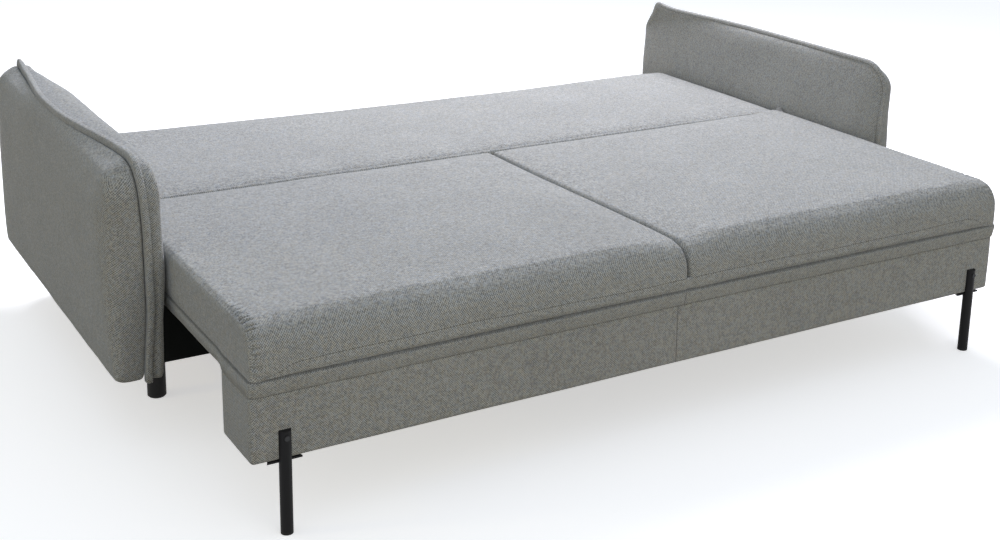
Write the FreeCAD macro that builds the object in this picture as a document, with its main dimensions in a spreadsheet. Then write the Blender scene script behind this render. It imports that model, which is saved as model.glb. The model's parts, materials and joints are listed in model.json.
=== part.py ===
"""Sofa bed with a storage chest, pulled out flat as a bed.

Millimetres. X runs along the length of the sofa, the front faces -Y, +Z is up.
The origin is on the floor, in the middle of the footprint of the opened bed.

A fixed base holds the storage chest and the two padded arms. A carriage slides in
the chest. The seat, on two slim front legs, and the folding backrest turn on one
hinge line at the carriage, in the seam between seat and backrest. A stud on each
backrest lever follows a curved track on the chest, so that the backrest rises in
step as the seat is pushed in.
"""
import FreeCAD
import Part
import Sketcher
import math
import os

V = FreeCAD.Vector

DIMENSIONS = (
    ("overall_width", 2220, "outer face of one arm to outer face of the other"),
    ("overall_depth", 1544, "front of the seat, pulled out, to the back of the arms"),
    ("bed_height", 436, "top of the cushions"),
    ("deck_height", 330, "underside of the seat cushions"),
    ("platform_height", 294, "underside of the seat and backrest frames"),
    ("seat_depth", 860, "front of the seat to the hinge line"),
    ("back_depth", 594, "hinge line to the rear edge of the backrest"),
    ("cushion_half", 985, "centre to the side of the cushions"),
    ("frame_half", 970, "centre to the side of the timber frames"),
    ("seam_gap", 1.5, "cushion to the plane of a seam, each side"),
    ("front_round", 66, "radius over the front edge of the seat"),
    ("side_round", 34, "radius over the side edges of the cushions"),
    ("seam_round", 30, "radius of the cushions along the hinge line"),
    ("centre_round", 24, "radius of the cushions along the centre seam"),
    ("rear_round", 44, "radius over the rear edge of the backrest"),
    ("plan_corner", 46, "corner radius of the cushions seen from above"),
    ("crown", 7, "rise of a cushion from its edges to its middle"),
    ("draw_in", 4, "how far a cushion's sides are drawn in between corners"),
    ("frame_rail_width", 60, "width of a frame rail"),
    ("frame_rail_height", 33, "height of a frame rail"),
    ("border_inset", 4, "front of the seat to the front of its border"),
    ("border_thickness", 12, "thickness of the seat border"),
    ("border_height", 31, "height of the seat border"),
    ("apron_setback", 14, "front of the seat to the front of the apron"),
    ("apron_depth", 159, "front to rear of the apron"),
    ("apron_bottom", 154, "underside of the apron"),
    ("apron_half", 978, "centre to the end of the apron"),
    ("apron_board", 16, "thickness of the apron boards"),
    ("cover_thickness", 4, "padded cover on the apron"),
    ("hinge_drop", 10, "top of the bed to the hinge line"),
    ("pin_radius", 5, "hinge pin"),
    ("eye_radius", 9.5, "eye of a hinge plate"),
    ("running_gap", 0.05, "radial clearance of a turning pin"),
    ("plate_thickness", 3, "hinge plates and levers"),
    ("plate_start", 986, "centre to the inner face of the seat hinge plate"),
    ("plate_pitch", 3.5, "one hinge plate to the next"),
    ("plate_toe", 34, "height of a hinge plate over its flange"),
    ("seat_flange_far", 238, "hinge line to the front of the seat plate's flange"),
    ("seat_flange_near", 143, "hinge line to the rear of the seat plate's flange"),
    ("lever_flange_near", 34, "hinge line to the front of the lever's flange"),
    ("lever_flange_far", 124, "hinge line to the rear of the lever's flange"),
    ("pin_head", 1.5, "head of a hinge pin"),
    ("pin_play", 0.2, "head of a hinge pin to the lever"),
    ("hinge_play", 0.3, "inner end of a hinge pin beyond the seat plate"),
    ("slide_travel", 470, "bed to sofa"),
    ("fold_angle", 80, "flat backrest to raised backrest, in degrees"),
    ("lever_back", -125, "hinge line to the lever's stud, along the depth"),
    ("lever_drop", 160, "hinge line to the lever's stud, downwards"),
    ("stud_pin_radius", 4, "pin of the lever's stud"),
    ("stud_radius", 6, "nylon sleeve on the lever's stud"),
    ("stud_play", 0.5, "sleeve to the wall of the curved track"),
    ("stud_end_play", 0.4, "end of the stud to the chest"),
    ("track_thickness", 4, "plate with the curved track"),
    ("chest_front", 695, "front of the seat to the front of the chest"),
    ("chest_rear", 1507, "front of the seat to the rear of the chest"),
    ("chest_bottom", 90, "underside of the chest"),
    ("chest_top", 285, "top of the chest"),
    ("chest_half", 980, "centre to the outer face of the chest"),
    ("board", 18, "thickness of the chest boards"),
    ("floor_board", 6, "thickness of the chest floor"),
    ("bearer_height", 14, "bearers under the chest floor"),
    ("bearer_width", 40, "bearers and corner blocks"),
    ("block_height", 50, "corner blocks"),
    ("leg_stud_radius", 4, "threaded stud of a chest leg"),
    ("leg_stud_length", 56, "threaded stud of a chest leg"),
    ("leg_hole_radius", 4.3, "hole for a leg stud or an arm bolt"),
    ("base_leg_radius", 21.5, "chest leg"),
    ("base_leg_chamfer", 3, "lower edge of a chest leg"),
    ("base_leg_x", 950, "centre to the axis of a chest leg"),
    ("base_leg_inset", 29, "end of the chest to the axis of a chest leg"),
    ("channel_depth", 18, "fixed channel of the slide"),
    ("channel_height", 36, "fixed channel of the slide"),
    ("channel_wall", 2.5, "fixed channel of the slide"),
    ("channel_bottom", 226, "underside of the fixed channel"),
    ("channel_end", 4, "end of the fixed channel to the chest's boards"),
    ("slide_gap", 0.5, "bar of the carriage to the fixed channel"),
    ("slide_thickness", 5, "bar of the sliding carriage"),
    ("slide_length", 290, "bar of the sliding carriage"),
    ("slide_start", 717, "front of the seat to the front of the bar"),
    ("slide_bottom", 224, "underside of the bar"),
    ("glide_length", 60, "nylon glide block"),
    ("glide_play", 0.3, "glide block to the channel, top and bottom"),
    ("glide_inset", 5, "end of the bar to a glide block"),
    ("bracket_foot", 155, "length of the hinge bracket on the bar"),
    ("bracket_bottom", 286, "underside of the hinge bracket"),
    ("bracket_slope", 35, "how far the bracket's web leans forward at its foot"),
    ("flange_inner", 900, "centre to the inner edge of the hinge flanges"),
    ("flange_bottom", 290.5, "underside of the hinge flanges"),
    ("cross_tube_radius", 12.5, "tube between the two slides"),
    ("cross_tube_y", 972, "front of the seat to the axis of the tube"),
    ("cross_tube_z", 268, "floor to the axis of the tube"),
    ("cross_tube_wall", 2, "wall of the tube"),
    ("arm_inner", 1000, "centre to the inner face of an arm"),
    ("arm_seam", 1050, "centre to the seam of an arm"),
    ("arm_setback", 474, "front of the seat to the front of an arm"),
    ("arm_bottom", 150, "underside of an arm"),
    ("arm_top", 645, "top of an arm's flange"),
    ("arm_corner", 78, "upper front corner of an arm"),
    ("arm_rear_corner", 40, "upper rear corner of an arm"),
    ("arm_foot_corner", 14, "lower corners of an arm"),
    ("flange_width", 14, "thickness of an arm's flange"),
    ("flange_proud", 12, "flange beyond the pads"),
    ("flange_root", 14, "flange between the pads"),
    ("flange_edge", 4, "rounded edge of the flange"),
    ("ear_radius", 8, "upper rear corner of the flange"),
    ("panel_thickness", 36, "timber panel in an arm"),
    ("panel_inset", 24, "flange-free outline of an arm to its panel"),
    ("batten_bottom", 155, "batten between chest and arm"),
    ("batten_height", 45, "batten between chest and arm"),
    ("batten_inset", 37, "end of the chest to the end of the batten"),
    ("bolt_radius", 4, "arm bolt"),
    ("bolt_head_radius", 9, "arm bolt"),
    ("bolt_head", 5, "arm bolt"),
    ("bolt_length", 100, "arm bolt under its head"),
    ("slim_leg_radius", 12.5, "front leg"),
    ("slim_leg_wall", 1.5, "front leg"),
    ("slim_leg_x", 916, "centre to the axis of a front leg"),
    ("slim_leg_top", 217, "floor to the top of a front leg"),
    ("leg_plate_thickness", 4, "welded plate of a front leg"),
    ("leg_plate_depth", 62, "welded plate of a front leg"),
    ("leg_plate_half", 36, "welded plate of a front leg, half its front edge"),
    ("leg_plate_tip", 12, "welded plate of a front leg, half its rear edge"),
    ("leg_plate_start", 2, "axis of a front leg to its plate's front edge"),
    ("leg_plug", 8, "solid end of the leg's tube under the apron"),
    ("leg_glide", 5, "foot of a front leg"),
    ("screw_radius", 3, "screw of a front leg"),
    ("screw_head_radius", 5.5, "screw of a front leg"),
    ("screw_head", 1.5, "screw of a front leg"),
    ("screw_length", 30, "screw of a front leg, under its head"),
    ("screw_below_top", 14, "top of a front leg to its screw"),
    ("spring_wire", 2, "radius of the spring wire"),
    ("spring_leg", 34, "straight across a seat spring"),
    ("spring_drop", 5, "deck to the axis of the spring wire"),
    ("strap_width", 70, "webbing strap of the backrest"),
    ("strap_thickness", 2, "webbing strap of the backrest"),
    ("back_panel", 3, "thin panel under the backrest"),
    ("back_front_inset", 8, "hinge line to the backrest's frame"),
    ("back_rear_inset", 6, "rear edge of the backrest to its frame"),
    ("back_panel_lap", 2, "thin panel beyond the frame, front and rear"),
    ("pocket_play", 0.4, "frame to the cushion wrapped over it"),
    ("border_rear", 4, "hinge line to the rear of the seat border"),
    ("seat_foot_round", 14, "lower edge of the seat cushions"),
    ("back_foot_round", 8, "lower edge of the backrest cushion"),
    ("front_panel_drop", 2, "chest's front board below its sides"),
    ("track_clearance", 5, "batten to the plate with the curved track"),
    ("border_lift", 1, "underside of the frames to the underside of the seat border"),
    ("panel_foot", 14, "underside of an arm to the foot of its panel"),
    ("panel_foot_corner", 4, "lower corners of the panel in an arm"),
    ("screw_play", 0.2, "screw of a front leg to its clearance hole"),
    ("cut_margin", 1, "how far a cutting tool reaches past what it cuts"),
)

SPRING_COUNT = 6
SPRING_BENDS = 12
STRAP_COUNT = 9
BOLTS_PER_ARM = 3
TRACK_STEPS = 14
TRACK_NUDGE = 0.01
FLAT = 0.01
# Heights of a cushion's sections below its shoulder, as shares of its largest edge radius.
EDGE_STEPS = (1.0, 0.62, 0.36, 0.17, 0.06, 0.0)
FOOT_STEP = 0.35
# Sections of the crown: distance from the edge in edge radii, share of the full rise.
CROWN_STEPS = ((1.7, 0.55), (3.4, 1.0))
LEAST_CORNER = 6.0
# Sections of an arm pad: share of its thickness from the seam, inset from the arm's outline.
ARM_PAD_STEPS = ((0.0, 7), (0.14, 2), (0.34, 0), (0.58, 3), (0.78, 13), (0.92, 34), (1.0, 92))

DOC = FreeCAD.newDocument("sofa_bed")
SHEET = DOC.addObject("Spreadsheet::Sheet", "Dims")
SUBPARTS = []

FRONT = "(-Dims.overall_depth / 2)"
REAR = "(Dims.overall_depth / 2)"
SEAM = f"({FRONT} + Dims.seat_depth)"
BACK_EDGE = f"({SEAM} + Dims.back_depth)"
HINGE_Z = "(Dims.bed_height - Dims.hinge_drop)"
CHEST_FRONT = f"({FRONT} + Dims.chest_front)"
CHEST_REAR = f"({FRONT} + Dims.chest_rear)"
CHEST_INNER = "(Dims.chest_half - Dims.board)"
FLOOR_BOTTOM = "(Dims.chest_bottom + Dims.bearer_height)"
FLOOR_TOP = f"({FLOOR_BOTTOM} + Dims.floor_board)"
APRON_FRONT = f"({FRONT} + Dims.apron_setback)"
APRON_REAR = f"({APRON_FRONT} + Dims.apron_depth)"
ARM_FRONT = f"({FRONT} + Dims.arm_setback + Dims.flange_proud)"
ARM_REAR = f"({REAR} - Dims.flange_proud)"
ARM_CROWN = "(Dims.arm_top - Dims.flange_proud)"
ARM_OUTER = "(Dims.overall_width / 2)"
RAIL_TOP = "(Dims.platform_height + Dims.frame_rail_height)"
SLIDE_OUTER = f"({CHEST_INNER} - Dims.channel_depth - Dims.slide_gap)"


def fill_sheet():
    """Write the driving dimensions, one row each: name, value, meaning."""
    for row, (alias, value, meaning) in enumerate(DIMENSIONS, start=1):
        SHEET.set(f"A{row}", alias.replace("_", " "))
        SHEET.set(f"B{row}", str(value))
        SHEET.set(f"C{row}", meaning)
        SHEET.setAlias(f"B{row}", alias)
    DOC.recompute()


def num(text):
    """Value of an expression on the sheet."""
    return float(SHEET.evalExpression(text))


def subpart(obj, label):
    """Name a finished piece and list it for export."""
    obj.Label = label
    SUBPARTS.append(obj)
    return obj


def place(obj, x, y, z):
    """Bind an object's position to expressions."""
    for axis, text in (("x", x), ("y", y), ("z", z)):
        obj.setExpression(f"Placement.Base.{axis}", str(text))


def block(name, x, y, z):
    """Box between two expressions on each axis."""
    obj = DOC.addObject("Part::Box", name)
    for size, (low, high) in (("Length", x), ("Width", y), ("Height", z)):
        obj.setExpression(size, f"({high}) - ({low})")
    place(obj, x[0], y[0], z[0])
    return obj


def rod(name, axis, start, length, radius):
    """Cylinder from a start point along X, Y or Z."""
    turns = {"X": (V(0, 1, 0), 90), "Y": (V(1, 0, 0), -90), "Z": (V(0, 0, 1), 0)}
    obj = DOC.addObject("Part::Cylinder", name)
    obj.Placement.Rotation = FreeCAD.Rotation(*turns[axis])
    obj.setExpression("Height", str(length))
    obj.setExpression("Radius", str(radius))
    place(obj, *start)
    return obj


def join(name, shapes):
    """One piece from several that touch."""
    obj = DOC.addObject("Part::MultiFuse", name)
    obj.Shapes = shapes
    return obj


def cut(name, base, tools):
    """A piece with the tools taken away."""
    obj = DOC.addObject("Part::Cut", name)
    obj.Base = base
    obj.Tool = tools[0] if len(tools) == 1 else join(f"{name}_tools", tools)
    return obj


def group(name, shapes):
    """Separate like pieces that share a node."""
    obj = DOC.addObject("Part::Compound", name)
    obj.Links = shapes
    return obj


def mirrored(name, source):
    """The same piece on the left-hand side."""
    obj = DOC.addObject("Part::Mirroring", name)
    obj.Source = source
    obj.Normal = (1, 0, 0)
    return obj


def pair(name, right):
    """List a right-hand piece and its mirror image on the left."""
    subpart(right, f"{name}_right")
    subpart(mirrored(f"{name}_left", right), f"{name}_left")


def feature(name, shape):
    """Piece whose shape comes from lofts or curves."""
    obj = DOC.addObject("Part::Feature", name)
    obj.Shape = shape
    obj.Placement = FreeCAD.Placement()
    return obj


def symmetric(half):
    """Range from minus to plus an expression."""
    return f"-({half})", half


def origin_plane(body, role):
    """Named plane of a body's own origin."""
    return next(item for item in body.Origin.OriginFeatures if item.Role == role)


def sketch_on(body, name, role):
    """Empty sketch on one of the body's origin planes."""
    sketch = body.newObject("Sketcher::SketchObject", name)
    sketch.AttachmentSupport = [(origin_plane(body, role), "")]
    sketch.MapMode = "FlatFace"
    return sketch


def bind_point(sketch, geometry, position, point):
    """Tie a point of a sketch to two expressions."""
    for kind, text in zip(("DistanceX", "DistanceY"), point):
        value = num(text)
        index = sketch.addConstraint(Sketcher.Constraint(kind, -1, 1, geometry, position, value))
        sketch.setExpression(f"Constraints[{index}]", text)


def polygon_sketch(body, name, role, points):
    """Closed outline of straight edges through bound points."""
    sketch = sketch_on(body, name, role)
    places = [V(num(u), num(v), 0) for u, v in points]
    count = len(points)
    for index in range(count):
        edge = Part.LineSegment(places[index], places[(index + 1) % count])
        sketch.addGeometry(edge, False)
    for index in range(count):
        joint = Sketcher.Constraint("Coincident", index, 2, (index + 1) % count, 1)
        sketch.addConstraint(joint)
    for index, point in enumerate(points):
        bind_point(sketch, index, 1, point)
    return sketch


def circle_sketch(body, name, role, centre, radius):
    """Circle with a bound centre and radius."""
    sketch = sketch_on(body, name, role)
    middle = V(num(centre[0]), num(centre[1]), 0)
    sketch.addGeometry(Part.Circle(middle, V(0, 0, 1), num(radius)), False)
    bind_point(sketch, 0, 3, centre)
    index = sketch.addConstraint(Sketcher.Constraint("Radius", 0, num(radius)))
    sketch.setExpression(f"Constraints[{index}]", radius)
    return sketch


def pad(body, name, sketch, length):
    """Pad a sketch by an expression."""
    obj = body.newObject("PartDesign::Pad", name)
    obj.Profile = sketch
    obj.setExpression("Length", length)
    return obj


def pocket_through(body, name, sketch):
    """Cut a sketch through the body, along its normal."""
    obj = body.newObject("PartDesign::Pocket", name)
    obj.Profile = sketch
    obj.Type = "ThroughAll"
    obj.Reversed = True
    return obj


def hinge_plate(name, start, outlines, eyes):
    """Upright steel plate with eyes, square to the hinge line."""
    body = DOC.addObject("PartDesign::Body", name)
    for index, points in enumerate(outlines):
        sketch = polygon_sketch(body, f"{name}_outline_{index}", "YZ_Plane", points)
        pad(body, f"{name}_plate_{index}", sketch, "Dims.plate_thickness")
    for index, centre in enumerate(eyes):
        sketch = circle_sketch(body, f"{name}_eye_{index}", "YZ_Plane", centre, "Dims.eye_radius")
        pad(body, f"{name}_boss_{index}", sketch, "Dims.plate_thickness")
    bore = "Dims.pin_radius + Dims.running_gap"
    hole = circle_sketch(body, f"{name}_bore", "YZ_Plane", (SEAM, HINGE_Z), bore)
    DOC.recompute()
    pocket_through(body, f"{name}_hole", hole)
    body.setExpression("Placement.Base.x", start)
    return body


def rounded_outline(to_space, low, high, corners, bows=(0, 0, 0, 0)):
    """Closed outline with four rounded corners, from low left anticlockwise.

    Each side bows inwards in its middle by its own depth: low, right, high, left.
    """
    (u0, v0), (u1, v1) = low, high
    r1, r2, r3, r4 = corners
    half = math.sqrt(0.5)
    sides = (
        ((u0 + r1, v0), (u1 - r2, v0), (0, bows[0])),
        ((u1, v0 + r2), (u1, v1 - r3), (-bows[1], 0)),
        ((u1 - r3, v1), (u0 + r4, v1), (0, -bows[2])),
        ((u0, v1 - r4), (u0, v0 + r1), (bows[3], 0)),
    )
    bends = (
        (u1 - r2 + r2 * half, v0 + r2 - r2 * half),
        (u1 - r3 + r3 * half, v1 - r3 + r3 * half),
        (u0 + r4 - r4 * half, v1 - r4 + r4 * half),
        (u0 + r1 - r1 * half, v0 + r1 - r1 * half),
    )
    edges = []
    for index, (start, end, shift) in enumerate(sides):
        middle = ((start[0] + end[0]) / 2 + shift[0], (start[1] + end[1]) / 2 + shift[1])
        if bows[index]:
            edges.append(Part.Arc(to_space(*start), to_space(*middle), to_space(*end)).toShape())
        else:
            edges.append(Part.LineSegment(to_space(*start), to_space(*end)).toShape())
        following = sides[(index + 1) % 4][0]
        corner = Part.Arc(to_space(*end), to_space(*bends[index]), to_space(*following))
        edges.append(corner.toShape())
    return Part.Wire(edges)


def edge_inset(radius, below_top):
    """How far a rounded edge draws back at a depth below its top."""
    if below_top >= radius:
        return 0.0
    return radius - math.sqrt(radius ** 2 - (radius - below_top) ** 2)


def cushion(low, high, rounds, drawn, foot_round):
    """Filled cushion: rounded edges, drawn-in sides and a crowned top.

    The rounds are the radii over the left, right, front and rear upper edges, and
    drawn says which of the front, right, rear and left sides are drawn in.
    """
    crown = num("Dims.crown")
    corner = num("Dims.plan_corner")
    bows = [num("Dims.draw_in") * side for side in drawn]
    shoulder = high[2] - crown
    largest = max(rounds)
    heights = [low[2], low[2] + foot_round * FOOT_STEP, low[2] + foot_round]
    heights += [shoulder - largest * share for share in EDGE_STEPS]
    wires = []
    for height in heights:
        foot = edge_inset(foot_round, height - low[2])
        left, right, front, rear = (edge_inset(r, shoulder - height) + foot for r in rounds)
        wires.append(rounded_outline(
            lambda u, v, z=height: V(u, v, z),
            (low[0] + left, low[1] + front),
            (high[0] - right, high[1] - rear),
            [max(corner - foot, LEAST_CORNER)] * 4,
            bows,
        ))
    for share, rise in CROWN_STEPS:
        left, right, front, rear = (r * share for r in rounds)
        wires.append(rounded_outline(
            lambda u, v, z=shoulder + crown * rise: V(u, v, z),
            (low[0] + left, low[1] + front),
            (high[0] - right, high[1] - rear),
            [corner] * 4,
            bows,
        ))
    return Part.makeLoft(wires, True, True)


def arm_outline(x, inset):
    """Outline of an arm's padding, square to X, drawn in by an inset."""
    corners = [num(f"Dims.{name}") for name in (
        "arm_foot_corner", "arm_foot_corner", "arm_rear_corner", "arm_corner")]
    return rounded_outline(
        lambda u, v: V(x, u, v),
        (num(ARM_FRONT) + inset, num("Dims.arm_bottom") + inset),
        (num(ARM_REAR) - inset, num(ARM_CROWN) - inset),
        corners,
    )


def arm_pad(seam_x, face_x):
    """Half of an arm's padding: pinched at the seam, full, then crowned."""
    thickness = face_x - seam_x
    wires = [arm_outline(seam_x + thickness * share, inset) for share, inset in ARM_PAD_STEPS]
    return Part.makeLoft(wires, True, True)


def arm_panel():
    """Timber panel in an arm, its upper corners rounded to follow the arm."""
    start = num("Dims.arm_seam - Dims.panel_thickness / 2")
    inset = num("Dims.panel_inset")
    foot = num("Dims.panel_foot_corner")
    outline = rounded_outline(
        lambda u, v: V(start, u, v),
        (num(ARM_FRONT) + inset, num("Dims.arm_bottom + Dims.panel_foot")),
        (num(ARM_REAR) - inset, num(ARM_CROWN) - inset),
        [foot, foot, num("Dims.arm_rear_corner"), num("Dims.arm_corner") - inset],
    )
    return Part.Face(outline).extrude(V(num("Dims.panel_thickness"), 0, 0))


def arm_flange():
    """Sewn flange that stands out round an arm, open along the bottom."""
    start = num("Dims.arm_seam - Dims.flange_width / 2")
    foot = num("Dims.flange_edge")
    outer = rounded_outline(
        lambda u, v: V(start, u, v),
        (num(f"{FRONT} + Dims.arm_setback"), num("Dims.arm_bottom")),
        (num(REAR), num("Dims.arm_top")),
        [foot, foot, num("Dims.ear_radius"), num("Dims.arm_corner + Dims.flange_proud")],
    )
    root = num("Dims.flange_root")
    inner = rounded_outline(
        lambda u, v: V(start, u, v),
        (num(ARM_FRONT) + root, num("Dims.arm_bottom") - root),
        (num(ARM_REAR) - root, num(ARM_CROWN) - root),
        [foot, foot, num("Dims.arm_rear_corner"), num("Dims.arm_corner") - root],
    )
    ring = Part.Face(outer).cut(Part.Face(inner))
    return ring.extrude(V(num("Dims.flange_width"), 0, 0))


def stud_place(slide):
    """Where the lever's stud is, as the seat is pushed in by a distance."""
    turn = math.radians(num("Dims.fold_angle")) * slide / num("Dims.slide_travel")
    back = num("Dims.lever_back")
    drop = num("Dims.lever_drop")
    y = num(SEAM) + slide + back * math.cos(turn) + drop * math.sin(turn)
    z = num(HINGE_Z) + back * math.sin(turn) - drop * math.cos(turn)
    return y, z


def track_slot():
    """Curved slot that the lever's stud follows, as a cutting tool."""
    half = num("Dims.stud_radius + Dims.stud_play")
    travel = num("Dims.slide_travel")
    start = num("Dims.chest_half - Dims.cut_margin")
    depth = num("Dims.track_thickness + 2 * Dims.cut_margin")
    above, below, normals = [], [], []
    for index in range(TRACK_STEPS + 1):
        slide = travel * index / TRACK_STEPS
        y, z = stud_place(slide)
        ahead, behind = stud_place(slide + TRACK_NUDGE), stud_place(slide - TRACK_NUDGE)
        along = V(0, ahead[0] - behind[0], ahead[1] - behind[1]).normalize()
        normal = V(0, -along.z, along.y)
        middle = V(start, y, z)
        normals.append((middle, along))
        above.append(middle + normal * half)
        below.append(middle - normal * half)
    upper, lower = Part.BSplineCurve(), Part.BSplineCurve()
    upper.interpolate(above)
    lower.interpolate(below)
    first, forward = normals[0]
    last, onward = normals[-1]
    near = Part.Arc(above[0], first - forward * half, below[0])
    far = Part.Arc(above[-1], last + onward * half, below[-1])
    wire = Part.Wire(Part.__sortEdges__([edge.toShape() for edge in (upper, far, lower, near)]))
    return Part.Face(wire).extrude(V(depth, 0, 0))


def seat_spring(x):
    """Sinuous spring across the seat frame, from rail to rail."""
    wire_radius = num("Dims.spring_wire")
    rail = "Dims.border_thickness + Dims.frame_rail_width"
    front = num(f"{FRONT} + Dims.border_inset + {rail}")
    rear = num(f"{SEAM} - (Dims.border_rear + {rail})")
    half = num("Dims.spring_leg") / 2
    z = num(f"{RAIL_TOP} - Dims.spring_drop")
    first = front + wire_radius
    bend = (rear - front - 2 * wire_radius) / (2 * SPRING_BENDS)
    edges = []
    for index in range(SPRING_BENDS + 1):
        side = 1 if index % 2 == 0 else -1
        y = first + 2 * bend * index
        start, end = V(x - side * half, y, z), V(x + side * half, y, z)
        edges.append(Part.LineSegment(start, end).toShape())
        if index < SPRING_BENDS:
            top = V(x + side * (half + bend), y + bend, z)
            edges.append(Part.Arc(end, top, end + V(0, 2 * bend, 0)).toShape())
    path = Part.Wire(edges)
    start = path.Vertexes[0].Point
    ring = Part.Wire(Part.Circle(start, V(1, 0, 0), wire_radius).toShape())
    return path.makePipeShell([ring], True, False)


def build_chest():
    """Storage chest: four boards, floor, bearers and corner blocks."""
    upright = ("Dims.chest_bottom", "Dims.chest_top")
    inside = (f"{CHEST_FRONT} + Dims.board", f"{CHEST_REAR} - Dims.board")
    width = symmetric(CHEST_INNER)
    lower = ("Dims.chest_bottom", "Dims.chest_top - Dims.front_panel_drop")
    subpart(block("front_panel", width, (CHEST_FRONT, inside[0]), lower), "base_front_panel")
    subpart(block("rear_panel", width, (inside[1], CHEST_REAR), upright), "base_rear_panel")
    board = block("side_board", (CHEST_INNER, "Dims.chest_half"), (CHEST_FRONT, CHEST_REAR), upright)
    pair("base_side", cut("base_side", board, arm_bolt_holes("side")))
    panel = block("floor_panel", width, inside, (FLOOR_BOTTOM, FLOOR_TOP))
    subpart(cut("floor", panel, leg_stud_holes("floor")), "storage_floor")
    low = ("Dims.chest_bottom", FLOOR_BOTTOM)
    ends = (
        (inside[0], f"{inside[0]} + Dims.bearer_width"),
        (f"{inside[1]} - Dims.bearer_width", inside[1]),
    )
    battens = [block(f"bearer_{index}", width, span, low) for index, span in enumerate(ends)]
    middle = symmetric("Dims.bearer_width / 2")
    battens.append(block("bearer_middle", middle, (ends[0][1], ends[1][0]), low))
    drilled = [cut(f"{item.Name}_drilled", item, leg_stud_holes(item.Name)) for item in battens[:2]]
    subpart(group("bearers", drilled + battens[2:]), "floor_bearers")
    height = (FLOOR_TOP, f"{FLOOR_TOP} + Dims.block_height")
    blocks = []
    for index, span in enumerate(ends):
        for side, across in side_spans(f"{CHEST_INNER} - Dims.bearer_width", CHEST_INNER):
            name = f"corner_{side}_{index}"
            blocks.append(cut(f"{name}_drilled", block(name, across, span, height), leg_stud_holes(name)))
    subpart(group("corners", blocks), "corner_blocks")


def side_spans(near, far):
    """The two X ranges of a piece that both sides have."""
    return ("left", (f"-({far})", f"-({near})")), ("right", (near, far))


def leg_places():
    """Axis of each chest leg, by name."""
    rows = (
        ("front", f"{CHEST_FRONT} + Dims.base_leg_inset"),
        ("rear", f"{CHEST_REAR} - Dims.base_leg_inset"),
    )
    sides = (("left", "-Dims.base_leg_x"), ("right", "Dims.base_leg_x"))
    return [(f"{row}_{side}", x, y) for row, y in rows for side, x in sides]


def leg_stud_holes(owner):
    """Holes for the four leg studs, through floor, bearers and blocks."""
    start = "Dims.chest_bottom - Dims.cut_margin"
    length = "Dims.leg_stud_length + 2 * Dims.cut_margin"
    return [
        rod(f"{owner}_hole_{name}", "Z", (x, y, start), length, "Dims.leg_hole_radius")
        for name, x, y in leg_places()
    ]


def build_chest_legs():
    """Four turned legs with a threaded stud, screwed into the corner blocks."""
    radius, top = "Dims.base_leg_radius", "Dims.chest_bottom"
    stud_top = f"{top} + Dims.leg_stud_length"
    profile = (
        ("0", "0"),
        (f"{radius} - Dims.base_leg_chamfer", "0"),
        (radius, "Dims.base_leg_chamfer"),
        (radius, top),
        ("Dims.leg_stud_radius", top),
        ("Dims.leg_stud_radius", stud_top),
        ("0", stud_top),
    )
    for name, x, y in leg_places():
        body = DOC.addObject("PartDesign::Body", f"leg_{name}")
        sketch = polygon_sketch(body, f"leg_{name}_profile", "XZ_Plane", profile)
        turned = body.newObject("PartDesign::Revolution", f"leg_{name}_turned")
        turned.Profile = sketch
        turned.ReferenceAxis = (sketch, ["V_Axis"])
        turned.Angle = 360
        place(body, x, y, "0")
        subpart(body, f"base_leg_{name}")


def arm_bolt_holes(owner):
    """Holes for the bolts that hold the right arm."""
    start = f"{CHEST_INNER} - Dims.cut_margin"
    length = "Dims.bolt_length + 2 * Dims.cut_margin"
    return [
        rod(f"{owner}_bolt_hole_{index}", "X", (start, y, z), length, "Dims.leg_hole_radius")
        for index, (y, z) in enumerate(arm_bolt_places())
    ]


def arm_bolt_places():
    """Y and Z of each bolt of an arm, spread along its batten."""
    start = f"{CHEST_FRONT} + Dims.batten_inset"
    length = f"({CHEST_REAR} - {CHEST_FRONT} - 2 * Dims.batten_inset)"
    z = "Dims.batten_bottom + Dims.batten_height / 2"
    shares = [(2 * index + 1) / (2 * BOLTS_PER_ARM) for index in range(BOLTS_PER_ARM)]
    return [(f"{start} + {length} * {share}", z) for share in shares]


def build_arms():
    """Two padded arms: timber panel, two pads, sewn flange, batten and bolts."""
    seam = num("Dims.arm_seam")
    panel = feature("panel", arm_panel())
    flange = feature("flange", arm_flange())
    pair("arm_panel", cut("arm_panel", panel, arm_bolt_holes("panel")))
    inner = feature("inner_loft", arm_pad(seam, num("Dims.arm_inner")))
    outer = feature("outer_loft", arm_pad(seam, num(ARM_OUTER)))
    holes = arm_bolt_holes("inner_pad")
    pair("arm_inner_pad", cut("arm_inner_pad", inner, [panel, flange] + holes))
    pair("arm_outer_pad", cut("arm_outer_pad", outer, [panel, flange]))
    pair("arm_flange", feature("flange_rounded", round_flange(flange.Shape)))
    inset = "Dims.batten_inset"
    batten = block(
        "batten", ("Dims.chest_half", "Dims.arm_inner"),
        (f"{CHEST_FRONT} + {inset}", f"{CHEST_REAR} - {inset}"),
        ("Dims.batten_bottom", "Dims.batten_bottom + Dims.batten_height"),
    )
    pair("arm_batten", cut("arm_batten", batten, arm_bolt_holes("batten")))
    bolts = []
    for index, (y, z) in enumerate(arm_bolt_places()):
        shank = rod(f"shank_{index}", "X", (CHEST_INNER, y, z), "Dims.bolt_length", "Dims.bolt_radius")
        start = f"{CHEST_INNER} - Dims.bolt_head"
        head = rod(f"bolt_head_{index}", "X", (start, y, z), "Dims.bolt_head", "Dims.bolt_head_radius")
        bolts.append(join(f"bolt_{index}", [shank, head]))
    left = [mirrored(f"{bolt.Name}_left", bolt) for bolt in bolts]
    subpart(group("bolts", bolts + left), "arm_bolts")


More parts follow.
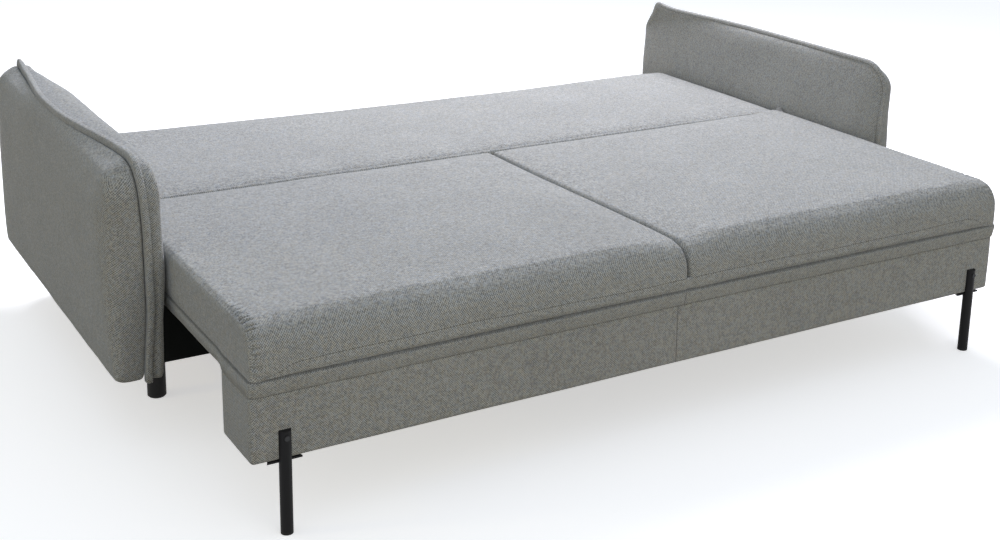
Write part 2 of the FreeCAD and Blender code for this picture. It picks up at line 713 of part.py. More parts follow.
def round_flange(shape):
    """Ease the outer edges of the flange that run along its outline."""
    radius = num("Dims.flange_edge")
    slack = num("Dims.cut_margin")
    low = num("Dims.arm_bottom") + slack
    inner_top = num(f"{ARM_CROWN} - Dims.flange_root") + slack
    inner_front = num(f"{ARM_FRONT} + Dims.flange_root") - slack
    inner_rear = num(f"{ARM_REAR} - Dims.flange_root") + slack
    chosen = []
    for edge in shape.Edges:
        middle = edge.CenterOfMass
        box = edge.BoundBox
        outside = middle.z > inner_top or middle.y < inner_front or middle.y > inner_rear
        if box.XLength < FLAT and outside and box.ZMax > low:
            chosen.append(edge)
    return shape.makeFillet(radius, chosen)


def build_slides():
    """Fixed channels, curved tracks and the carriage that slides between them."""
    end_gap = "Dims.board + Dims.channel_end"
    inside = (f"{CHEST_FRONT} + {end_gap}", f"{CHEST_REAR} - ({end_gap})")
    wall = "Dims.channel_wall"
    top = "Dims.channel_bottom + Dims.channel_height"
    inner = f"{CHEST_INNER} - Dims.channel_depth"
    outside = block("channel_bar", (inner, CHEST_INNER), inside, ("Dims.channel_bottom", top))
    room = block(
        "channel_room", (f"{inner} - Dims.cut_margin", f"{CHEST_INNER} - {wall}"),
        (f"{inside[0]} - Dims.cut_margin", f"{inside[1]} + Dims.cut_margin"),
        (f"Dims.channel_bottom + {wall}", f"{top} - {wall}"),
    )
    pair("fixed_channel", cut("fixed_channel", outside, [room]))
    plate = block(
        "track_plate", ("Dims.chest_half", "Dims.chest_half + Dims.track_thickness"),
        (f"{CHEST_FRONT} + Dims.board", f"{CHEST_REAR} - Dims.board"),
        ("Dims.batten_bottom + Dims.batten_height + Dims.track_clearance", "Dims.chest_top"),
    )
    pair("guide_track", cut("guide_track", plate, [feature("slot", track_slot())]))
    start = f"{FRONT} + Dims.slide_start"
    end = f"{start} + Dims.slide_length"
    bar = block(
        "slide_bar", (f"{SLIDE_OUTER} - Dims.slide_thickness", SLIDE_OUTER), (start, end),
        ("Dims.slide_bottom", "Dims.bracket_bottom"),
    )
    pair("slide_rail", bar)
    play = "Dims.glide_play"
    tall = (f"Dims.channel_bottom + {wall} + {play}", f"{top} - {wall} - {play}")
    across = (SLIDE_OUTER, f"{CHEST_INNER} - {wall} - {play}")
    rows = (f"{start} + Dims.glide_inset", f"{end} - Dims.glide_inset - Dims.glide_length")
    spans = [(y, f"{y} + Dims.glide_length") for y in rows]
    blocks = [block(f"glide_{index}", across, span, tall) for index, span in enumerate(spans)]
    left = [mirrored(f"{item.Name}_left", item) for item in blocks]
    subpart(group("glides", blocks + left), "glide_blocks")
    half = f"({SLIDE_OUTER} - Dims.slide_thickness)"
    axis = (f"-{half}", f"{FRONT} + Dims.cross_tube_y", "Dims.cross_tube_z")
    tube = rod("tube", "X", axis, f"2 * {half}", "Dims.cross_tube_radius")
    bore = rod("tube_bore", "X", axis, f"2 * {half}", "Dims.cross_tube_radius - Dims.cross_tube_wall")
    subpart(cut("cross_tube", tube, [bore]), "cross_tube")


def build_hinges():
    """Seat plates, carriage brackets, backrest levers and their common pins."""
    thick, pitch = "Dims.plate_thickness", "Dims.plate_pitch"
    eye, eye_front = f"{SEAM} + Dims.eye_radius", f"{SEAM} - Dims.eye_radius"
    seat_x = "Dims.plate_start"
    bracket_x = f"{seat_x} + {pitch}"
    lever_x = f"{bracket_x} + {pitch}"
    low = "Dims.flange_bottom"
    flange_top = f"{low} + {thick}"

    near, far = f"{SEAM} - Dims.seat_flange_near", f"{SEAM} - Dims.seat_flange_far"
    slant = "Dims.eye_radius * sqrt(0.5)"
    arm = ((far, low), (near, low), (f"{SEAM} + {slant}", f"{HINGE_Z} - {slant}"),
           (f"{SEAM} - {slant}", f"{HINGE_Z} + {slant}"), (far, f"{low} + Dims.plate_toe"))
    plate = hinge_plate("seat_plate", seat_x, [arm], [(SEAM, HINGE_Z)])
    across = ("Dims.flange_inner", f"{seat_x} + {thick}")
    foot = block("seat_flange", across, (far, near), (low, flange_top))
    right = join("seat_hinge", [plate, foot])
    subpart(group("seat_hinges", [right, mirrored("seat_hinge_left", right)]), "seat_hinge_plates")

    start = f"{FRONT} + Dims.slide_start"
    end = f"{start} + Dims.bracket_foot"
    bottom = "Dims.bracket_bottom"
    web = ((f"{start} + Dims.bracket_slope", bottom), (eye, bottom), (eye, HINGE_Z), (eye_front, HINGE_Z))
    upright = hinge_plate("bracket_plate", bracket_x, [web], [(SEAM, HINGE_Z)])
    foot = block("bracket_flange", (f"{SLIDE_OUTER} - Dims.slide_thickness", f"{bracket_x} + {thick}"),
                 (start, end), (bottom, f"{bottom} + {thick}"))
    pair("hinge_bracket", join("hinge_bracket", [upright, foot]))

    stud = (f"{SEAM} + Dims.lever_back", f"{HINGE_Z} - Dims.lever_drop")
    reach = "sqrt(Dims.lever_drop^2 + Dims.lever_back^2)"
    over = f"Dims.eye_radius * Dims.lever_drop / {reach}"
    up = f"Dims.eye_radius * Dims.lever_back / {reach}"
    strip = ((f"{SEAM} + {over}", f"{HINGE_Z} + {up}"), (f"{SEAM} - {over}", f"{HINGE_Z} - {up}"),
             (f"{stud[0]} - {over}", f"{stud[1]} - {up}"), (f"{stud[0]} + {over}", f"{stud[1]} + {up}"))
    near, far = f"{SEAM} + Dims.lever_flange_near", f"{SEAM} + Dims.lever_flange_far"
    wing = ((eye_front, HINGE_Z), (near, low), (far, low), (far, f"{low} + Dims.plate_toe"), (eye, HINGE_Z))
    crank = hinge_plate("lever_plate", lever_x, [strip, wing], [(SEAM, HINGE_Z), stud])
    across = ("Dims.flange_inner", f"{lever_x} + {thick}")
    foot = block("lever_flange", across, (near, far), (low, flange_top))
    inner = "Dims.chest_half + Dims.stud_end_play"
    pin = rod("stud_pin", "X", (inner, *stud), f"{lever_x} - ({inner})", "Dims.stud_pin_radius")
    pair("back_lever", join("back_lever", [crank, foot, pin]))

    length = "Dims.track_thickness - Dims.stud_end_play"
    sleeve = rod("stud_sleeve", "X", (inner, *stud), length, "Dims.stud_radius")
    bore = rod("stud_bore", "X", (inner, *stud), length, "Dims.stud_pin_radius + Dims.running_gap")
    right = cut("guide_stud", sleeve, [bore])
    subpart(group("studs", [right, mirrored("guide_stud_left", right)]), "guide_studs")

    outer = f"{lever_x} + {thick} + Dims.pin_play"
    start = f"{seat_x} - Dims.hinge_play"
    shank = rod("pin_shank", "X", (start, SEAM, HINGE_Z), f"{outer} - ({start})", "Dims.pin_radius")
    head = rod("pin_head", "X", (outer, SEAM, HINGE_Z), "Dims.pin_head", "Dims.eye_radius - Dims.pin_head")
    right = join("hinge_pin", [shank, head])
    subpart(group("pins", [right, mirrored("hinge_pin_left", right)]), "hinge_pins")


def frame_rails(name, front, rear, bottom, top):
    """Timber frame of four rails between two depths."""
    wide = "Dims.frame_rail_width"
    height = (bottom, top)
    across = symmetric("Dims.frame_half")
    subpart(block(f"{name}_front", across, (front, f"{front} + {wide}"), height), f"{name}_front_rail")
    subpart(block(f"{name}_rear", across, (f"{rear} - {wide}", rear), height), f"{name}_rear_rail")
    depth = (f"{front} + {wide}", f"{rear} - {wide}")
    right = block(f"{name}_side", (f"Dims.frame_half - {wide}", "Dims.frame_half"), depth, height)
    pair(f"{name}_side_rail", right)


def build_seat():
    """Seat: frame, springs, border, two cushions and the apron."""
    front, rear = num(FRONT), num(f"{SEAM} - Dims.seam_gap")
    half, gap = num("Dims.cushion_half"), num("Dims.seam_gap")
    low, high = num("Dims.deck_height"), num("Dims.bed_height")
    rounds = [num(f"Dims.{name}") for name in ("centre_round", "side_round", "front_round", "seam_round")]
    foot = num("Dims.seat_foot_round")
    shape = cushion((gap, front, low), (half, rear, high), rounds, (1, 1, 0, 0), foot)
    pair("seat_cushion", feature("cushion", shape))

    inset = "Dims.border_thickness"
    near = f"{FRONT} + Dims.border_inset"
    far = f"{SEAM} - Dims.border_rear"
    bottom = "Dims.platform_height + Dims.border_lift"
    tall = (bottom, f"{bottom} + Dims.border_height")
    outside = block("border_outside", symmetric("Dims.cushion_half"), (near, far), tall)
    rail_front = f"{near} + {inset}"
    rail_rear = f"{far} - {inset}"
    inside = block("border_inside", symmetric("Dims.frame_half"), (rail_front, rail_rear),
                   (f"{tall[0]} - Dims.cut_margin", f"{tall[1]} + Dims.cut_margin"))
    subpart(cut("border", outside, [inside]), "seat_border")
    frame_rails("seat", rail_front, rail_rear, "Dims.platform_height", RAIL_TOP)
    pitch = 2 * num("Dims.frame_half - Dims.frame_rail_width") / SPRING_COUNT
    places = [(index - (SPRING_COUNT - 1) / 2) * pitch for index in range(SPRING_COUNT)]
    springs = [feature(f"spring_{index}", seat_spring(x)) for index, x in enumerate(places)]
    subpart(group("springs", springs), "seat_springs")
    build_apron()


def build_apron():
    """Upholstered box under the front of the seat, on the two slim legs."""
    skin, board = "Dims.cover_thickness", "Dims.apron_board"
    top = "Dims.platform_height"
    floor = f"Dims.apron_bottom + {skin}"
    half = f"(Dims.apron_half - {skin})"
    front, rear = f"({APRON_FRONT} + {skin})", f"({APRON_REAR} - {skin})"
    outside = block("cover_outside", symmetric("Dims.apron_half"), (APRON_FRONT, APRON_REAR),
                    ("Dims.apron_bottom", top))
    inside = block("cover_inside", symmetric(half), (front, rear),
                   ("Dims.apron_bottom - Dims.cut_margin", f"{top} + Dims.cut_margin"))
    holes = screw_holes("cover", "Dims.screw_radius + Dims.screw_play")
    subpart(cut("cover", outside, [inside] + holes), "apron_cover")
    height = (floor, top)
    face = block("apron_face", symmetric(half), (front, f"{front} + {board}"), height)
    subpart(cut("apron_front", face, screw_holes("face", "Dims.screw_radius")), "apron_front_board")
    subpart(block("apron_rear", symmetric(half), (f"{rear} - {board}", rear), height), "apron_rear_board")
    depth = (f"{front} + {board}", f"{rear} - {board}")
    spans = side_spans(f"{half} - {board}", half)
    ends = [block(f"apron_end_{side}", span, depth, height) for side, span in spans]
    subpart(group("apron_sides", ends), "apron_ends")


def slim_leg_places():
    """X of each front leg, by side."""
    return ("left", "-Dims.slim_leg_x"), ("right", "Dims.slim_leg_x")


def screw_height():
    """Height of the screw near the top of a front leg."""
    return "Dims.slim_leg_top - Dims.screw_below_top"


def screw_holes(owner, radius):
    """Holes for the screws of both front legs, through the front of the apron."""
    start = f"{APRON_FRONT} - Dims.cut_margin"
    return [
        rod(f"{owner}_screw_hole_{side}", "Y", (x, start, screw_height()), "Dims.screw_length", radius)
        for side, x in slim_leg_places()
    ]


def build_front_legs():
    """Two slim tube legs, halved against the apron, each with a welded plate."""
    screws, glides = [], []
    radius = "Dims.slim_leg_radius"
    for side, x in slim_leg_places():
        height = "Dims.slim_leg_top - Dims.leg_glide"
        tube = rod(f"tube_{side}", "Z", (x, APRON_FRONT, "Dims.leg_glide"), height, radius)
        bore = rod(f"tube_bore_{side}", "Z", (x, APRON_FRONT, "Dims.leg_glide"),
                   "Dims.apron_bottom - Dims.leg_glide - Dims.leg_plug", f"{radius} - Dims.slim_leg_wall")
        behind = block(f"halving_{side}", (f"{x} - 2 * {radius}", f"{x} + 2 * {radius}"),
                       (APRON_FRONT, f"{APRON_FRONT} + 2 * {radius}"),
                       ("Dims.apron_bottom", f"Dims.slim_leg_top + {radius}"))
        start = (x, f"{APRON_FRONT} - 2 * {radius}", screw_height())
        clear = "Dims.screw_radius + Dims.screw_play"
        hole = rod(f"screw_hole_{side}", "Y", start, f"4 * {radius}", clear)
        halved = cut(f"halved_{side}", tube, [bore, behind, hole])
        plate = leg_plate(side, x)
        subpart(join(f"slim_{side}", [halved, plate]), f"slim_leg_{side}")
        glide = rod(f"foot_{side}", "Z", (x, APRON_FRONT, "0"), "Dims.leg_glide", radius)
        glides.append(glide)
        start = (x, f"{APRON_FRONT} - {radius} - Dims.screw_head", screw_height())
        length = "Dims.screw_head + Dims.screw_length"
        head = rod(f"screw_head_{side}", "Y", start, "Dims.screw_head", "Dims.screw_head_radius")
        shank = rod(f"screw_shank_{side}", "Y", start, length, "Dims.screw_radius")
        screws.append(join(f"screw_{side}", [head, shank]))
    subpart(group("feet", glides), "leg_glides")
    subpart(group("screws", screws), "leg_screws")


def leg_plate(side, x):
    """Triangular plate that a front leg is welded to, under the apron."""
    body = DOC.addObject("PartDesign::Body", f"leg_plate_{side}")
    half, depth = "Dims.leg_plate_half", "Dims.leg_plate_depth"
    tip, start = "Dims.leg_plate_tip", "Dims.leg_plate_start"
    points = ((f"-{half}", start), (half, start), (tip, depth), (f"-{tip}", depth))
    sketch = polygon_sketch(body, f"leg_plate_{side}_outline", "XY_Plane", points)
    pad(body, f"leg_plate_{side}_pad", sketch, "Dims.leg_plate_thickness")
    place(body, x, APRON_FRONT, "Dims.apron_bottom - Dims.leg_plate_thickness")
    return body


def build_backrest():
    """Backrest: frame, webbing, thin panel and the cushion wrapped over them."""
    thin = "Dims.back_panel"
    bottom = f"(Dims.platform_height + {thin})"
    front, rear = f"({SEAM} + Dims.back_front_inset)", f"({BACK_EDGE} - Dims.back_rear_inset)"
    frame_rails("back", front, rear, bottom, "Dims.deck_height")
    lap = "Dims.back_panel_lap"
    span = (f"{front} - {lap}", f"{rear} + {lap}")
    across = symmetric(f"Dims.frame_half + {lap}")
    panel = block("back_board", across, span, ("Dims.platform_height", bottom))
    subpart(panel, "back_panel")
    gap, half = num("Dims.seam_gap"), num("Dims.cushion_half")
    rounds = [num(f"Dims.{name}") for name in ("side_round", "side_round", "seam_round", "rear_round")]
    low = (-half, num(SEAM) + gap, num(bottom))
    high = (half, num(BACK_EDGE), num("Dims.bed_height"))
    shape = cushion(low, high, rounds, (0, 1, 1, 1), num("Dims.back_foot_round"))
    play = "Dims.pocket_play"
    depth = (f"{front} - {play}", f"{rear} + {play}")
    height = (f"{bottom} - Dims.cut_margin", f"Dims.deck_height + {play}")
    room = block("back_room", symmetric(f"Dims.frame_half + {play}"), depth, height)
    subpart(cut("back_pad", feature("back_loft", shape), [room]), "back_cushion")
    pitch = f"(2 * (Dims.frame_half - Dims.frame_rail_width) / {STRAP_COUNT})"
    depth = (f"{front} + Dims.frame_rail_width", f"{rear} - Dims.frame_rail_width")
    height = ("Dims.deck_height - Dims.strap_thickness", "Dims.deck_height")
    straps = []
    for index in range(STRAP_COUNT):
        middle = f"{pitch} * {index - (STRAP_COUNT - 1) / 2}"
        span = (f"{middle} - Dims.strap_width / 2", f"{middle} + Dims.strap_width / 2")
        straps.append(block(f"strap_{index}", span, depth, height))
    subpart(group("webbing", straps), "back_webbing")


def check_and_export():
    """Stop at any failed object, then write one file for each sub-part."""
    DOC.recompute()
    for obj in DOC.Objects:
        if "Invalid" in obj.State or "Error" in obj.State:
            raise RuntimeError(f"{obj.Label} did not build: {obj.State}")
    for obj in SUBPARTS:
        if obj.Shape.isNull() or not obj.Shape.isValid() or obj.Shape.Volume <= 0:
            raise RuntimeError(f"{obj.Label} has no valid shape")
    os.makedirs("parts", exist_ok=True)
    for obj in SUBPARTS:
        obj.Shape.exportStep(f"parts/{obj.Label}.step")
    print(f"{len(SUBPARTS)} sub-parts written")


def main():
    fill_sheet()
    build_chest()
    build_chest_legs()
    build_arms()
    build_slides()
    build_hinges()
    build_seat()
    build_front_legs()
    build_backrest()
    check_and_export()


main()
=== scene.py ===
"""Looks of a sofa bed with a storage chest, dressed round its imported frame.

Metres. X runs along the length of the sofa, the front faces -Y, +Z is up.
"""

import json
import math

import bmesh
import bpy
import numpy as np
from bpy.props import FloatProperty, FloatVectorProperty, PointerProperty
from mathutils import Matrix, Vector, noise


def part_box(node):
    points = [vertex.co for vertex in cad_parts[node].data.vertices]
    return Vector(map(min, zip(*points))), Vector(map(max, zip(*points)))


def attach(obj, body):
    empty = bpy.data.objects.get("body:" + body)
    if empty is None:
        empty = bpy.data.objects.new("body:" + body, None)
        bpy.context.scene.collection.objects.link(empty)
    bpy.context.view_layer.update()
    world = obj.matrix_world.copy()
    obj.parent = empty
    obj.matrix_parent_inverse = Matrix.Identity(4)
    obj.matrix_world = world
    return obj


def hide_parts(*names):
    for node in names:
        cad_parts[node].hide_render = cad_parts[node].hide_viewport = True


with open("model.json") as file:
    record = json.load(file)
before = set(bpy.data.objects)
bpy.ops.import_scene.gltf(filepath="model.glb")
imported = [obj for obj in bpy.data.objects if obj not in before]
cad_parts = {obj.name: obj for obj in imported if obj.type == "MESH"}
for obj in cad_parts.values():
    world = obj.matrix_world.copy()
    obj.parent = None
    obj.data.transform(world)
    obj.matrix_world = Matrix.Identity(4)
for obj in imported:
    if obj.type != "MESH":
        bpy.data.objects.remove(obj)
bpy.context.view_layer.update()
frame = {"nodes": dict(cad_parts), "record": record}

bl_info = {
    "name": "Sofa bed upholstery",
    "version": (1, 0, 0),
    "blender": (4, 5, 0),
    "location": "View3D > Sidebar > Sofa bed",
    "description": "Dresses the packed frame of a sofa bed with cushions, covers and finishes",
    "category": "Object",
}

SIDES = (("left", -1), ("right", 1))
TURN = 2 * math.pi
UNIT = (1.0, 1.0, 1.0)
ALONG_X = np.array((1.0, 0.0, 0.0))

# Shares of the yarns' colours in the dark and the light thread, and how far the yarns wander
YARN_DARK, YARN_LIGHT = 0.45, 1.55
YARN_WANDER = (0.002, 0.002, 0.002)

# Lengths that several covers share, in metres
END_GAP = 0.002
LAP = 0.002
SEWN = 0.004
APRON_VOXEL = 0.005
ARM_VOXEL = 0.0078
SEAT_HALF = 0.985
ARM_FRONT, ARM_REAR = -0.298, 0.772
ARM_BEND = 0.090

# Finer mesh for the gathers: reach from a cushion's end, height over its foot, rearmost place
FINE_ZONES = ((0.05, 0.0, -0.3), (0.037, 0.01, -0.5))


def length(name, default, description):
    """Length property of the sidebar panel."""
    return FloatProperty(name=name, description=description, default=default, unit="LENGTH", precision=4)


def colour(name, default, description):
    """Colour property of the sidebar panel."""
    return FloatVectorProperty(
        name=name, description=description, default=default, subtype="COLOR", size=3, min=0, max=1)


class SofaSizes(bpy.types.PropertyGroup):
    """Sizes that an upholsterer would change."""

    front_round: length("Front round", 0.058, "Radius over the front edge of the seat")
    rear_round: length("Rear round", 0.022, "Radius over the rear edge of the backrest")
    end_round: length("End round", 0.012, "Radius of the cushions at their end seams")
    seam_round: length("Seam round", 0.006, "Radius of the cushions at the seams between them")
    cushion_rise: length("Cushion rise", 0.008, "How far stuffing lifts a cushion")
    arm_rise: length("Arm rise", 0.009, "How far stuffing swells an arm pad")
    arm_round: length("Arm round", 0.04, "Radius of an arm pad towards its seam")
    voxel: length("Cover mesh", 0.0095, "Mesh size of the covers before refining")
    stitch_rise: length("Topstitch height", 0.0255, "Topstitch above the foot of the seat cushions")
    stitch_pitch: length("Stitch pitch", 0.0068, "One stitch to the next")
    stitch_radius: length("Thread radius", 0.0009, "Radius of the sewing thread")
    pucker_depth: length("Pucker depth", 0.0066, "Depth of the gathers at the end seams")
    pucker_pitch: length("Pucker pitch", 0.0185, "One gather to the next")
    welt_width: length("Welt width", 0.0150, "Thickness of the sewn flange round an arm")
    welt_proud: length("Welt height", 0.012, "How far the sewn flange stands out of an arm")
    crease: length("Crease width", 0.0052, "Room between an outer arm pad and the flange")
    ear_rise: length("Ear height", 0.008, "How far the flange's rear corner stands up")


class SofaLooks(bpy.types.PropertyGroup):
    """Colours of the finishes and the weave of the cover."""

    weave_pitch: length("Weave pitch", 0.0051, "One yarn of the cover to the next but one")
    fabric_cool: colour("Cover, cool yarn", (0.335, 0.358, 0.372), "Bluish yarn of the cover")
    fabric_warm: colour("Cover, warm yarn", (0.372, 0.362, 0.322), "Olive grey yarn of the cover")
    felt: colour("Chest felt", (0.010, 0.012, 0.012), "Felt on the storage chest")
    black_paint: colour("Leg paint", (0.011, 0.011, 0.012), "Powder coat of the front legs")
    timber: colour("Timber", (0.56, 0.40, 0.24), "Softwood of the frames")
    timber_grain: colour("Timber grain", (0.36, 0.21, 0.10), "Late wood in the timber")
    hardboard: colour("Hardboard", (0.19, 0.11, 0.06), "Thin pressed board")
    zinc: colour("Zinc", (0.55, 0.56, 0.57), "Plated steel")
    plastic: colour("Chest legs", (0.005, 0.005, 0.005), "Moulded chest legs and glides")
    nylon: colour("Nylon", (0.66, 0.65, 0.60), "Glide blocks and sleeves")
    webbing: colour("Webbing", (0.035, 0.035, 0.038), "Woven elastic straps")
    floor: colour("Floor", (0.92, 0.92, 0.92), "Studio floor")


def joined(operation, swapped=False):
    """Method that joins a value and another value or number by a math node."""
    return lambda self, other: self.math(operation, *((other, self) if swapped else (self, other)))


class Value:
    """Output of a shader node that Python arithmetic can use."""

    __add__ = joined("ADD")
    __radd__ = joined("ADD", swapped=True)
    __sub__ = joined("SUBTRACT")
    __rsub__ = joined("SUBTRACT", swapped=True)
    __mul__ = joined("MULTIPLY")
    __truediv__ = joined("DIVIDE")
    __pow__ = joined("POWER")
    larger = joined("MAXIMUM")

    def __init__(self, finish, socket):
        self.finish = finish
        self.socket = socket

    def math(self, operation, first, second=0.0):
        return self.finish.node("Math", {0: first, 1: second}, operation=operation)

    def __abs__(self):
        return self.math("ABSOLUTE", self)

    def sine(self):
        return self.math("SINE", self)

    def clamped(self):
        return self.finish.node("Clamp", {"Value": self})


class Finish:
    """Nodes of a material or of the world, with one method that adds them."""

    def __init__(self, name, kind="materials"):
        self.owner = getattr(bpy.data, kind).new(name)
        self.owner.use_nodes = True
        self.tree = self.owner.node_tree
        self.tree.nodes.clear()

    def node(self, kind, inputs, output=0, **settings):
        node = self.tree.nodes.new("ShaderNode" + kind)
        for key, value in settings.items():
            setattr(node, key, value)
        for key, value in inputs.items():
            if isinstance(value, Value):
                self.tree.links.new(value.socket, node.inputs[key])
            else:
                node.inputs[key].default_value = value
        return Value(self, node.outputs[output]) if node.outputs else None

    def places(self):
        """Object coordinates."""
        return self.node("TexCoord", {}, "Object")

    def parts(self, vector):
        """X, Y and Z of a vector."""
        return [self.node("SeparateXYZ", {0: vector}, axis) for axis in range(3)]

    def noise(self, vector, scale, detail=2.0, output="Fac"):
        return self.node("TexNoise", {"Vector": vector, "Scale": scale, "Detail": detail}, output)

    def stretched(self, vector, scale):
        """Coordinates scaled by axis."""
        return self.node("Mapping", {"Vector": vector, "Scale": scale})

    def mix(self, share, first, second):
        """Colour between two, by a share."""
        inputs = {0: share, 6: opaque(first), 7: opaque(second)}
        return self.node("Mix", inputs, 2, data_type="RGBA")

    def skin(self, inputs, height=None, depth=0.001, strength=0.6):
        """Principled surface with an optional bump, joined to the output."""
        if height is not None:
            bump = {"Strength": strength, "Distance": depth, "Height": height}
            inputs["Normal"] = self.node("Bump", bump)
        shader = self.node("BsdfPrincipled", inputs)
        self.node("OutputMaterial", {"Surface": shader})
        return self.owner


def opaque(value):
    """Colour with its alpha, where it is a plain colour."""
    return value if isinstance(value, Value) else (*value, 1.0)


def shade(tint, share):
    """Colour made darker or lighter by a share."""
    return [share * part for part in tint]


def weave(across, up, pitch):
    """Height of the two-yarn cloth from two lengths along a face, 0 to 1."""
    turn = TURN / pitch
    falling = ((across + up) * turn).sine()
    rising = ((across - up) * turn).sine()
    return falling * 0.20 + rising * 0.30 + 0.5


def cloth(name, looks, seam_and_shade=None):
    """Woven cover in two yarns. An optional mask darkens the colour along a sewn line and along a band of
    painted shade.
    """
    finish = Finish(name)
    spot = finish.places()
    wander = finish.noise(spot, 60, 2, "Color")
    shift = finish.node("VectorMath", {0: wander, 1: YARN_WANDER, 2: spot}, operation="MULTIPLY_ADD")
    x, y, z = finish.parts(shift)
    facing = finish.node("TexCoord", {}, "Normal")
    shares = [abs(part) ** 5 for part in finish.parts(facing)]
    whole = shares[0] + shares[1] + shares[2]
    level = shares[2] / whole
    pitch = looks.weave_pitch
    yarns = (weave(y, z, pitch) * shares[0] + weave(x, z, pitch) * shares[1]
             + (weave(x, y, pitch) * 0.4 + 0.3) * shares[2]) / whole
    fuzz = finish.noise(spot, 420, 3)
    blotch = finish.noise(spot, 34, 3)
    cloud = finish.noise(spot, 4.5, 2)
    speck = (finish.noise(spot, 250, 2) * 3 - 1).clamped()
    mottle = finish.noise(spot, 105, 2) * level
    slub = finish.noise(finish.stretched(spot, (1, 1, 0.12)), 95, 2)
    tone = (yarns * 1.35 + speck * 0.55 + fuzz * 0.3 + slub * 0.16 + blotch * 0.18 + cloud * 0.22
            + mottle * 0.8 - 0.88 - level * 0.40).clamped()
    blend = (finish.noise(spot, 150, 2) * 2.6 - 0.8).clamped()
    dark, light = (finish.mix(blend, shade(looks.fabric_cool, share), shade(looks.fabric_warm, share))
                   for share in (YARN_DARK, YARN_LIGHT))
    base = finish.mix(tone, dark, light)
    height = yarns * 0.7 + fuzz * 0.5
    if seam_and_shade is not None:
        line = seam_and_shade(finish.parts(spot))
        # The mask darkens the colour: a dark seam line, and painted shade where a piece above would shade the
        # cover
        base = finish.mix(line * 0.55, base, (0.06, 0.06, 0.056))
        height = height - line * 1.6
    rough = 0.86 + fuzz * 0.12
    return finish.skin({"Base Color": base, "Roughness": rough, "Sheen Weight": 0.42, "Sheen Roughness": 0.4,
                        "Sheen Tint": (0.90, 0.94, 1, 1), "Specular IOR Level": 0.2},
                       height, depth=0.0016, strength=0.7)


def seamed_cloth(name, looks, seam, wobble, width, shade_from):
    """Cover with an upright seam at a place along X, and painted shade: its top darkened from shade_from up,
    in place of the shadow of the piece above it.
    """
    fade = 0.004

    def seam_and_shade(parts):
        x, z = parts[0], parts[2]
        upright = (1 - abs(x - seam + (z * 31).sine() * wobble) / width).clamped()
        # Painted shade: the cover darkened from shade_from upwards, standing in for the shadow under the
        # piece above
        return upright.larger(((z - shade_from) / fade).clamped())

    return cloth(name, looks, seam_and_shade)


def coated(name, tint, tones, grain, patch, bump, rough, weights=(0, 1, 0), stretch=(UNIT, UNIT),
           surface=None):
    """Finish of one colour between two tones, with a fine grain and coarse patches.

    grain and patch are scale and detail of two noises, stretch their stretch by axis. weights and rough are
    their shares in tone and roughness, and a constant. bump is the grain's depth and strength.
    """
    finish = Finish(name)
    spot = finish.places()
    fine = finish.noise(finish.stretched(spot, stretch[0]), *grain)
    coarse = finish.noise(finish.stretched(spot, stretch[1]), *patch)
    tone = (fine * weights[0] + coarse * weights[1] + weights[2]).clamped()
    base = finish.mix(tone, shade(tint, tones[0]), shade(tint, tones[1]))
    roughness = fine * rough[0] + coarse * rough[1] + rough[2]
    return finish.skin({"Base Color": base, "Roughness": roughness, **(surface or {})}, fine, *bump)


def plated(name, tint):
    """Plated steel with drawn lines."""
    return coated(name, tint, tones=(0.8, 1.2), grain=(2, 3), patch=(45, 3), bump=(0.0002, 0.2),
                  rough=(0.18, 0.1, 0.3), stretch=((400, 6, 400), UNIT), surface={"Metallic": 1})


def moulded(name, tint, grain, rough):
    """Moulded plastic with a fine grain."""
    return coated(name, tint, tones=(0.8, 1.25), grain=(grain, 2), patch=(30, 3), bump=(0.0003, 0.3),
                  rough=(0, 0.15, rough), surface={"Specular IOR Level": 0.25})


def softwood(looks):
    """Sawn softwood with long grain."""
    finish = Finish("timber")
    spot = finish.places()
    bent = finish.noise(finish.stretched(spot, (1.2, 1.2, 5)), 3, 2)
    rings = finish.noise(finish.stretched(spot, (2, 14, 60)), 2.6, 4)
    lines = ((rings * 3.4 + bent * 1.2) * TURN).sine() * 0.5 + 0.5
    pores = finish.noise(finish.stretched(spot, (30, 300, 300)), 3, 3)
    tone = (lines * 0.65 + pores * 0.4 - 0.08).clamped()
    base = finish.mix(tone, looks.timber, looks.timber_grain)
    rough = 0.66 + pores * 0.2
    return finish.skin({"Base Color": base, "Roughness": rough}, pores, depth=0.0006, strength=0.4)


def strap_cloth(looks):
    """Woven elastic webbing."""
    finish = Finish("webbing")
    x, y = finish.parts(finish.places())[:2]
    ribs = (x * (TURN / 0.0045)).sine() * (y * (TURN / 0.003)).sine() * 0.5 + 0.5
    stripe = ((x * (TURN / 0.02)).sine() * 0.5 + 0.5) ** 3
    tone = (ribs * 0.5 + stripe * 0.5).clamped()
    base = finish.mix(tone, shade(looks.webbing, 0.6), shade(looks.webbing, 2.2))
    return finish.skin({"Base Color": base, "Roughness": 0.88}, ribs, depth=0.0006, strength=0.6)


